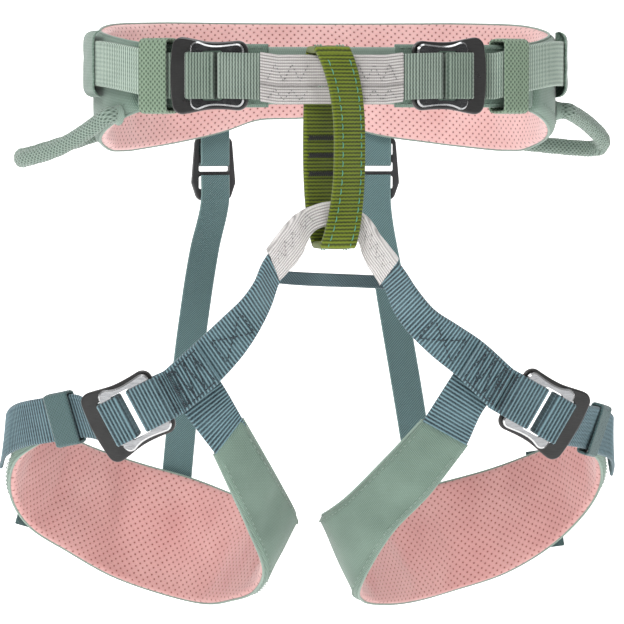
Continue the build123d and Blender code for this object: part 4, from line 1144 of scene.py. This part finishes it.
# ---- Belay loop
def belay_run():
    """The loop as a rounded rectangle on edge, bulged and twisted between its ends."""
    turn = math.radians(BELAY_SKEW)
    inward = np.array([math.sin(-turn), math.cos(turn), 0.0])
    across = np.array([math.cos(turn), math.sin(turn), 0.0])
    middle = np.array([FRONT_X, BELAY_Y, (BELAY_TOP + BELAY_BOTTOM) / 2])
    rise = (BELAY_TOP - BELAY_BOTTOM - BELAY_THICK) / 2
    reach = (BELAY_DEPTH - BELAY_THICK) / 2
    corners = [(-reach, rise), (-reach, -rise), (reach, -rise), (reach, rise)]
    corners = np.array([middle + inward * y + UP * z for y, z in corners])
    share = np.linspace(0, 1, 24, endpoint=False)[:, None]
    sides = [a + (b - a) * share for a, b in zip(corners, np.roll(corners, -1, axis=0))]
    points = averaged(np.vstack(sides).T, np.ones(5), "wrap")
    height = points[:, 2] - middle[2]
    front = -(points - middle) @ inward / reach
    bulge = np.clip(1 - (np.abs(height) / (rise + 0.8)) ** 2.4, 0, 1)
    shift = front * bulge * BELAY_BULGE - np.clip(height / rise, 0, 1) ** 3 * 2.5
    swing = (math.radians(BELAY_TWIST) * bulge)[:, None]
    tilted = np.cos(swing) * across + np.sin(swing) * inward
    run = Run(points + np.outer(shift, across), np.vstack([tilted, tilted[:1]]), BELAY_HALF, closed=True)
    return run.outwards(middle), middle, inward


def belay_loop():
    run, middle, inward = belay_run()
    ribbed = ribs(BELAY_RIB, 0.26, zig=0.05, selvedge=0.2)

    def relief(s, x, half):
        return ribbed(s, x, half) + 0.16 * np.cos(math.pi * x / BELAY_HALF) - 0.1

    loop = band("belay_loop_webbing", run, BELAY_THICK - 0.2, BELAY, relief, step=0.36, columns=26)
    finish_piece(loop, "belay_loop", "belay_webbing", "belay_loop")
    rows = [[(2, x), (run.length - 2, x)] for x in (-4.9, 4.9)]
    seam = sewn("belay_loop_stitches", run, rows, BELAY_FACE, TEAL_THREAD, stitch=2.6, gap=1.3, radius=0.24)
    finish_piece(seam, "belay_loop", "belay_webbing")
    s = run.steps(0.5)
    line = run.point(s, 0, 0)
    at_back = (line - middle) @ inward > 0
    tacks = []
    for height in TACK_HEIGHTS:
        at = s[at_back][np.argmin(np.abs(line[at_back, 2] - height))]
        tacks += [bar_tack(at, -6.6, 6.6, width=2.4), bar_tack(at + 0.3, -6.4, 6.4, width=2.0)]
    for label, face, nodes in (("outer", 1.75, ["belay_bar_tacks"]), ("inner", -BELAY_FACE, [])):
        tack = sewn(f"belay_tacks_{label}", run, tacks, face, BLACK_THREAD, stitch=2.4, gap=0.05, radius=0.3)
        finish_piece(tack, "belay_loop", "belay_webbing", *nodes)


# ---- Leg bridge
def bridge():
    run = between(BRIDGE, 1)
    cloth = sleeve_relief(run, (0.3, 2.4, 0.8), 13, 0.22)
    cover = band("leg_bridge_cloth", run, 4.2, BRIDGE_CLOTH_PAINTED_LIGHT, cloth, step=0.3, columns=40)
    finish_piece(cover, "root", "sleeve_fabric", "leg_bridge_sleeve")
    spans = ((2.5, run.length * 0.36), (run.length * 0.68, run.length - 2.5))
    lines = [zigzag(*span, -1.0, 4.8, 2.4) for span in spans]
    out = 2.15 * (1 if run.out[len(run.out) // 2][1] < 0 else -1)
    stitched = sewn("leg_bridge_stitches", run, lines, out, FAINT_THREAD, stitch=0.8, gap=0.9, radius=0.16)
    finish_piece(stitched, "root", "sleeve_fabric")
    run = between(CROSS_STRAP, 1, step=0.5)
    cross = band("leg_cross_strap_webbing", run, 1.6, CROSS, twill(1.2, 0.12, 0.8), step=0.4, columns=14)
    finish_piece(cross, "root", "leg_webbing", "leg_cross_strap")


# ---- Leg loops
LEG_RIBS = ribs(LEG_RIB, 0.42, zig=0.03)


def leg_band(name, run, look=LEG_WEB, columns=24):
    return band(name, run, WEB_THICK, look, LEG_RIBS, columns=columns)


def leg_tacks(at_places, half, width):
    return [bar_tack(at, -half, half, width=width, pitch=0.7) for at in at_places]


def buckle_edge(place, x, z, side):
    """Upper and lower edge of 20 mm webbing at a place in a leg buckle."""
    centre, y_dir = routed(place, [(x, z)])[0], np.cross(place[2], place[1])
    return centre - y_dir * side * WEB_HALF, centre + y_dir * side * WEB_HALF


def leg_webbings(side, hand, body, place):
    """Doubled webbing from the bridge to the leg buckle, its patch, and the arm down to the pad."""
    ends = [*LEG_WEBBING[side], buckle_edge(place, 22.4, LEG_END_LEVEL, side)]
    run = between([*TUCK[side], *ends[1:]], side, step=0.6)

    def two_ply(s, x, half):
        return LEG_RIBS(s, x, half) + 0.1 * np.cos(math.pi * x / (2 * half))

    webbing = band(f"{hand}_leg_webbing_doubled", run, 3.0, LEG_WEB, two_ply, step=0.32, columns=28)
    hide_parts(f"{hand}_leg_webbing")
    start, stop = run.centre[0] * MM, run.point(26.0, 0, 0) * MM
    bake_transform(webbing)
    near, far = run.length - 44, run.length - 26
    lines = [[(near, -6), (near, 6), (far, -6), (far, 6), (near, -6)]]
    stitched = sewn(f"{hand}_leg_webbing_stitches", run, lines, -1.6, NAVY_THREAD, stitch=1.9, gap=0.7)
    finish_piece(stitched, body, "leg_webbing")

    run = between(ends[4:], side, step=0.6, level=-PATCH_SHIFT)
    finish_piece(leg_band(f"{hand}_leg_patch_webbing", run), body, "leg_webbing", f"{hand}_leg_patch")
    end = run.length
    rows = [zigzag(1.6, end - 4.5, -7.6, 7.6, 2.9), *([(1.6, x), (end - 4.5, x)] for x in (-8.2, 8.2))]
    rows += leg_tacks((end - 1.4, end - 3.4), 8.4, 1.7)
    seam = sewn(f"{hand}_leg_patch_stitches", run, rows, -1.0, NAVY_THREAD, stitch=1.7, gap=0.3, radius=0.27)
    finish_piece(seam, body, "leg_webbing")

    *_, last, end = ARM_WEBBING[side]
    inside = tuple(tuple(b + (b - a) * 0.35 for a, b in zip(p, q)) for p, q in zip(last, end))
    run = between([*ARM_WEBBING[side], inside], side, step=0.6)
    finish_piece(leg_band(f"{hand}_leg_arm_strap", run), body, "leg_webbing", f"{hand}_leg_arm_webbing")


def leg_pad(side, hand, body):
    pad = Pad(between(LEG_PAD[side], side, step=1.0), LEG_PAD_THICK)
    nodes = (f"{hand}_leg_shell", f"{hand}_leg_foam", f"{hand}_leg_lining")
    table = dress_pad(body, pad, body, 1.2, nodes, seed=17 + side, lining_cloth=LEG_LINING_PAINTED_SHADE)
    pad_seam(f"{hand}_leg_shell_seam", pad, table, 1.9, body)


def leg_straps(side, hand, body, place):
    """The tie loop in the buckle's front window, and the strap folded over the slider."""
    y_dir = np.cross(place[2], place[1])
    upper, lower = LEG_END_LEVEL + PLY_SPREAD, LEG_END_LEVEL - PLY_SPREAD
    front = [(23.4, upper), (21, upper), (17, FOLD_LEVEL)]
    back = [(17.8, -1.3), (21, lower), (23.4, lower)]
    tie = planar(routed(place, [*front, *LOOP_ROUTE, *back]), y_dir, WEB_HALF, radius=0.9)
    tie.out = tie.out * math.copysign(1, np.mean(tie.out[:3] @ place[2]))
    web = leg_band(f"{hand}_leg_tie_loop", tie, LEG_STRAP_LOOK, 26)
    finish_piece(web, body, "leg_webbing", f"{hand}_leg_tie_webbing")
    rows = leg_tacks((2.4, 4.4), 8.6, 1.4)
    seam = sewn(f"{hand}_leg_tie_stitches", tie, rows, 1.0, NAVY_THREAD, stitch=1.5, gap=0.1, radius=0.27)
    finish_piece(seam, body, "leg_webbing")

    long_run = between([buckle_edge(place, -13.5, -1.3, side), *LEG_STRAP[side]], side, step=0.8)
    fold = planar(routed(place, LEG_FOLD_ROUTE), y_dir, WEB_HALF)
    across = np.vstack([np.tile(y_dir * -side, (len(fold.centre), 1)), long_run.across[1:]])
    run = Run(np.vstack([fold.centre, long_run.centre[1:]]), across, WEB_HALF)
    strap = leg_band(f"{hand}_leg_strap_webbing", run, LEG_STRAP_LOOK, 26)
    finish_piece(strap, body, "leg_webbing", f"{hand}_leg_strap")


def leg_keeper(side, hand):
    near, far = (np.array(station, float) for station in LEG_STRAP[side][:2])
    across = unit((near[0] - near[1]) + (far[0] - far[1]))
    along = unit(far.mean(0) - near.mean(0))
    along = unit(along - across * (along @ across))
    axes = across, np.cross(across, along), along
    cloth = LEG_ELASTIC, basket(2.2, 0.26), 0.4, 26
    middle = (near.mean(0) + far.mean(0)) / 2
    keeper(f"{hand}_leg_keeper", middle, axes, (11.35, 2.5, 1.1), 6.5, 0.3, "teal_elastic", *cloth)


def leg_tab(side, hand, body):
    """Elastic tab over the leg pad's outer face."""
    before, at, after = (np.array(station, float) for station in LEG_PAD[side][TAB_STATION[side] - 1 :][:3])
    upper, lower = at
    outward = unit(np.cross(upper - lower, after.mean(0) - before.mean(0))) * side
    over = unit(upper - lower) * 1.2
    face = [upper + (lower - upper) * t + outward * 3.9 for t in (0.15, 0.5, 0.85)]
    points = np.array([upper + outward * 3.4 + over, *face, lower + outward * 3.4 - over])
    distance = lengths(points)
    line = smooth(distance, points, np.linspace(0, distance[-1], 40))
    run = Run(line, unit(np.cross(outward, upper - lower)), 5.5, out=np.tile(outward, (len(line), 1)))
    tab = band(f"{hand}_leg_cross_tab_elastic", run, 1.2, LEG_ELASTIC, basket(2.2, 0.2), step=0.4)
    finish_piece(tab, body, "teal_elastic", f"{hand}_leg_cross_tab")


def leg_loop(side, hand):
    body, place = f"{hand}_leg", leg_buckle_place(side)
    leg_webbings(side, hand, body, place)
    leg_pad(side, hand, body)
    leg_straps(side, hand, body, place)
    leg_keeper(side, hand)
    leg_tab(side, hand, body)


# ---- Risers
def risers():
    weave = twill(1.15, 0.14)
    for side, hand in SIDES.items():
        lean = math.asin(RISER_X[side] / FLAT_RADIUS)
        out = np.array([math.sin(lean), math.cos(lean), 0])
        across = np.array([math.cos(lean), -math.sin(lean), 0])
        base = out * FLAT_RADIUS - (0, FLAT_CENTRE, 0)
        points = [base + out * x + UP * z for x, z in RISER_ROUTE]
        run = planar(points, across, RISER_HALF, radius=0.95)
        name = f"{hand}_riser_upper"
        upper = band(f"{name}_elastic", run, WEB_THICK - 0.2, RISER, weave, step=0.4, columns=26)
        finish_piece(upper, "root", "teal_elastic", name)
        tack = [zigzag(run.length - 9, run.length - 1.5, -5.5, 5.5, 1.5)]
        seam = sewn(f"{hand}_riser_tack", run, tack, 0.85, NAVY_THREAD, stitch=2, gap=0.5)
        finish_piece(seam, "root", "teal_elastic")

        head = base + out * RISER_LEVEL + UP * ADJUSTER_Z
        edges = []
        for centre, twist in [(head - UP * 3, lean), (head - UP * 14, lean), *LOWER_RISER[side]]:
            reach = np.array([math.cos(twist), -math.sin(twist), 0]) * RISER_HALF
            edges.append((np.array(centre) + reach, np.array(centre) - reach))
        run = between(edges, 1, step=1.0)
        lower = band(f"{hand}_riser_lower_elastic", run, 1.4, RISER, weave, step=0.45, columns=26)
        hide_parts(f"{hand}_riser_lower")
        top, foot = run.point(12.0, 0, 0) * MM, run.centre[-1] * MM
        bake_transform(lower)


# ---- Gear loops
def gear_roots(side, level):
    """Front and rear root of a gear loop at a level outside the shell."""
    return [oval(run, level, side) + UP * z for run, z in zip(GEAR_RUNS[side], GEAR_HEIGHTS[side])]


def gear_path(side):
    """Middle line of a gear loop's tube: out of one root, round the tip and into the other."""
    front, rear = gear_roots(side, GEAR_LEVEL)
    chord = rear - front
    reach = np.array(GEAR_TIP[side], float)
    reach = reach - unit(chord) * (reach @ unit(chord))
    deep, reach_dir = np.linalg.norm(reach), unit(reach)
    path = rounded([front, front + chord / 2 + reach, rear], GEAR_BEND)
    inner_front, inner_rear = gear_roots(side, 1.5)
    path = np.vstack([inner_front, path, inner_rear])
    distance = lengths(path)
    at = np.linspace(0, distance[-1], 300)
    path = np.stack([np.interp(at, distance, c) for c in path.T], 1)
    soft = averaged(path.T, np.ones(9), "edge")
    keep = np.clip(np.minimum(at, distance[-1] - at) / 3, 0, 1)[:, None]
    path = path * (1 - keep) + soft * keep
    droop = np.where(at < distance[-1] / 2, GEAR_DROOP[side], 0.3)
    path[:, 2] -= droop * np.sin(math.pi * np.clip((path - front) @ reach_dir / deep, 0, 1))
    return path


def gear_loops():
    angle = np.linspace(0, TURN, GEAR_AROUND, endpoint=False)
    for side, hand in SIDES.items():
        path = gear_path(side)
        s = lengths(path)[:, None]
        lay = s * TURN / BRAID_LAY
        strands = np.maximum(np.cos(angle * BRAID_ENDS + lay), np.cos(angle * BRAID_ENDS - lay))
        beat = np.cos(s * TURN / BRAID_BEAT + angle * 3)
        rings, _ = tube_rings(path, GEAR_TUBE + 0.3 + 0.16 * strands + 0.08 * beat, GEAR_AROUND)
        weave = weave_map(s, angle * GEAR_TUBE, 1.0)
        loop = skin(f"{hand}_gear_loop_braid", rings, weave=weave, look=BRAID)
        finish_piece(loop, f"{hand}_gear_loop", "gear_braid", f"{hand}_gear_loop")
    nodes = ["gear_loop_cuffs"]
    rows = np.linspace(0, 1, CUFF_ROWS)[:, None]
    pleats = np.cos(np.linspace(0, TURN, CUFF_AROUND, endpoint=False) * CUFF_PLEATS)
    for side, hand in SIDES.items():
        for label, run, height in zip(("front", "rear"), GEAR_RUNS[side], GEAR_HEIGHTS[side]):
            path = oval(run, np.linspace(*CUFF_REACH, CUFF_ROWS), side) + UP * height
            rings, turn = tube_rings(path, CUFF_RADIUS - rows**0.6 + 0.12 * pleats, CUFF_AROUND)
            weave = weave_map(rows * 3.4, turn * 5, 1.0)
            cuff = skin(f"{hand}_gear_cuff_{label}", rings, weave=weave, look=CUFFS)
            finish_piece(cuff, "root", "shell_fabric", *nodes)
            nodes = []


# ---- Hard parts keep their CAD shape and get their finish here
def paint(node, look):
    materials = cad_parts[node].data.materials
    materials.clear()
    materials.append(look)


# The second colour is the painted highlight on the black frames' chamfers and rims.
BLACK, BLACK_RIM_HIGHLIGHT = (0.006, 0.0055, 0.0055), (0.05, 0.045, 0.042)
# Painted reflection: the same polished steel is dark at the waist and paler at the legs, standing in for what
# each reflects; the second colour of each pair is a painted highlight on the rims.
STEEL_PAINTED_REFLECTION = {
    "waist": ((0.05, 0.051, 0.053), (0.42, 0.425, 0.43)),
    "leg": ((0.24, 0.243, 0.25), (0.6, 0.605, 0.61)),
}
GLOSS = {"waist": 0.35, "leg": 0.08}


def hard_parts():
    for side, hand in SIDES.items():
        for place, axis in (("waist", oval_out(BUCKLE_AT[side], side)), ("leg", leg_buckle_place(side)[2])):
            part = f"{hand}_{place}"
            black = plate_look(f"{part}_black_anodised", BLACK, BLACK_RIM_HIGHLIGHT, 0.34, 0.1, axis, coat=GLOSS[place])
            paint(f"{part}_buckle_frame", black)
            steel = plate_look(f"{part}_polished_steel", *STEEL_PAINTED_REFLECTION[place], 0.2, 1.0, axis, scratch_and_glint=0.6)
            paint(f"{part}_buckle_slider", steel)
        paint(f"{hand}_riser_adjuster", PLASTIC)


# ---- Floor, lights and camera, in metres
FLOOR_HALF, FLOOR_GAP = 7.0, 0.012
FLOOR_PROFILE = [(-7, 0), (1.9, 0), (2.3, 0.05), (2.5, 0.2), (2.6, 0.5), (2.62, 2.4)]
CAMERA_TARGET = (-0.006, 0.0, -0.106)
CAMERA_AZIMUTH, CAMERA_ELEVATION, CAMERA_DISTANCE, CAMERA_LENS = -6.5, 3.0, 1.685, 214.7


def stage():
    """White floor that curves up into a backdrop behind the harness."""
    low = cad_bounds[0][2] - FLOOR_GAP
    at = np.linspace(0, len(FLOOR_PROFILE) - 1, 40)
    curve = np.stack([np.interp(at, range(len(FLOOR_PROFILE)), c) for c in zip(*FLOOR_PROFILE)], 1)
    points = [(x, y, z + low) for y, z in curve for x in (-FLOOR_HALF, FLOOR_HALF)]
    mesh = bpy.data.meshes.new("floor")
    mesh.from_pydata(points, [], [(2 * i, 2 * i + 1, 2 * i + 3, 2 * i + 2) for i in range(len(curve) - 1)])
    floor = linked("floor", mesh)
    paper = bpy.data.materials.new("floor_paper")
    paper.use_nodes = True
    inputs = paper.node_tree.nodes["Principled BSDF"].inputs
    inputs["Base Color"].default_value = (0.93, 0.93, 0.93, 1)
    inputs["Roughness"].default_value = 0.95
    inputs["Emission Color"].default_value = (1, 1, 1, 1)
    inputs["Emission Strength"].default_value = 0.8
    mesh.materials.append(paper)


def aim(direction):
    return Vector(direction).to_track_quat("-Z", "Y").to_euler()


def light(name, place, target, size, power):
    data = bpy.data.lights.new(name, "AREA")
    data.energy, data.size = power, size
    lamp = linked(name, data)
    lamp.location = place
    lamp.rotation_euler = aim(np.array(target) - np.array(place))


def camera():
    azimuth, elevation = math.radians(CAMERA_AZIMUTH), math.radians(CAMERA_ELEVATION)
    level = math.cos(elevation)
    away = np.array([math.sin(azimuth) * level, -math.cos(azimuth) * level, math.sin(elevation)])
    data = bpy.data.cameras.new("camera")
    data.lens, data.sensor_width, data.clip_end = CAMERA_LENS, 36, 20
    obj = linked("camera", data)
    obj.location = np.array(CAMERA_TARGET) + away * CAMERA_DISTANCE
    obj.rotation_euler = aim(-away)
    bpy.context.scene.camera = obj


def studio():
    """Three soft lights and a sky that is brighter towards the top."""
    light("key", (-0.62, -0.9, 0.82), (0, 0, -0.08), 0.42, 9.6)
    light("fill", (1.1, -1.2, 0.4), (0, 0, -0.1), 0.9, 0.9)
    light("top", (0.0, 0.1, 1.0), (0, 0, -0.1), 0.8, 5.0)
    world = bpy.data.worlds.new("studio")
    world.use_nodes = True
    nodes, links = world.node_tree.nodes, world.node_tree.links
    coords, split, ramp = (nodes.new(f"ShaderNode{kind}") for kind in ("TexCoord", "SeparateXYZ", "MapRange"))
    links.new(coords.outputs["Generated"], split.inputs[0])
    links.new(split.outputs["Z"], ramp.inputs["Value"])
    for socket, value in zip(("From Min", "From Max", "To Min", "To Max"), (-0.1, 0.9, 0.22, 1.0)):
        ramp.inputs[socket].default_value = value
    links.new(ramp.outputs["Result"], nodes["Background"].inputs["Color"])
    nodes["Background"].inputs["Strength"].default_value = 0.44
    bpy.context.scene.world = world
    bpy.context.scene.view_settings.view_transform = "Standard"


waist_band()
wings_and_flap()
strap_covers()
waist_straps()
waist_keepers()
tie_in()
sleeve()
belay_loop()
bridge()
for leg_side, leg_hand in SIDES.items():
    leg_loop(leg_side, leg_hand)
risers()
gear_loops()
hard_parts()
stage()
studio()
camera()
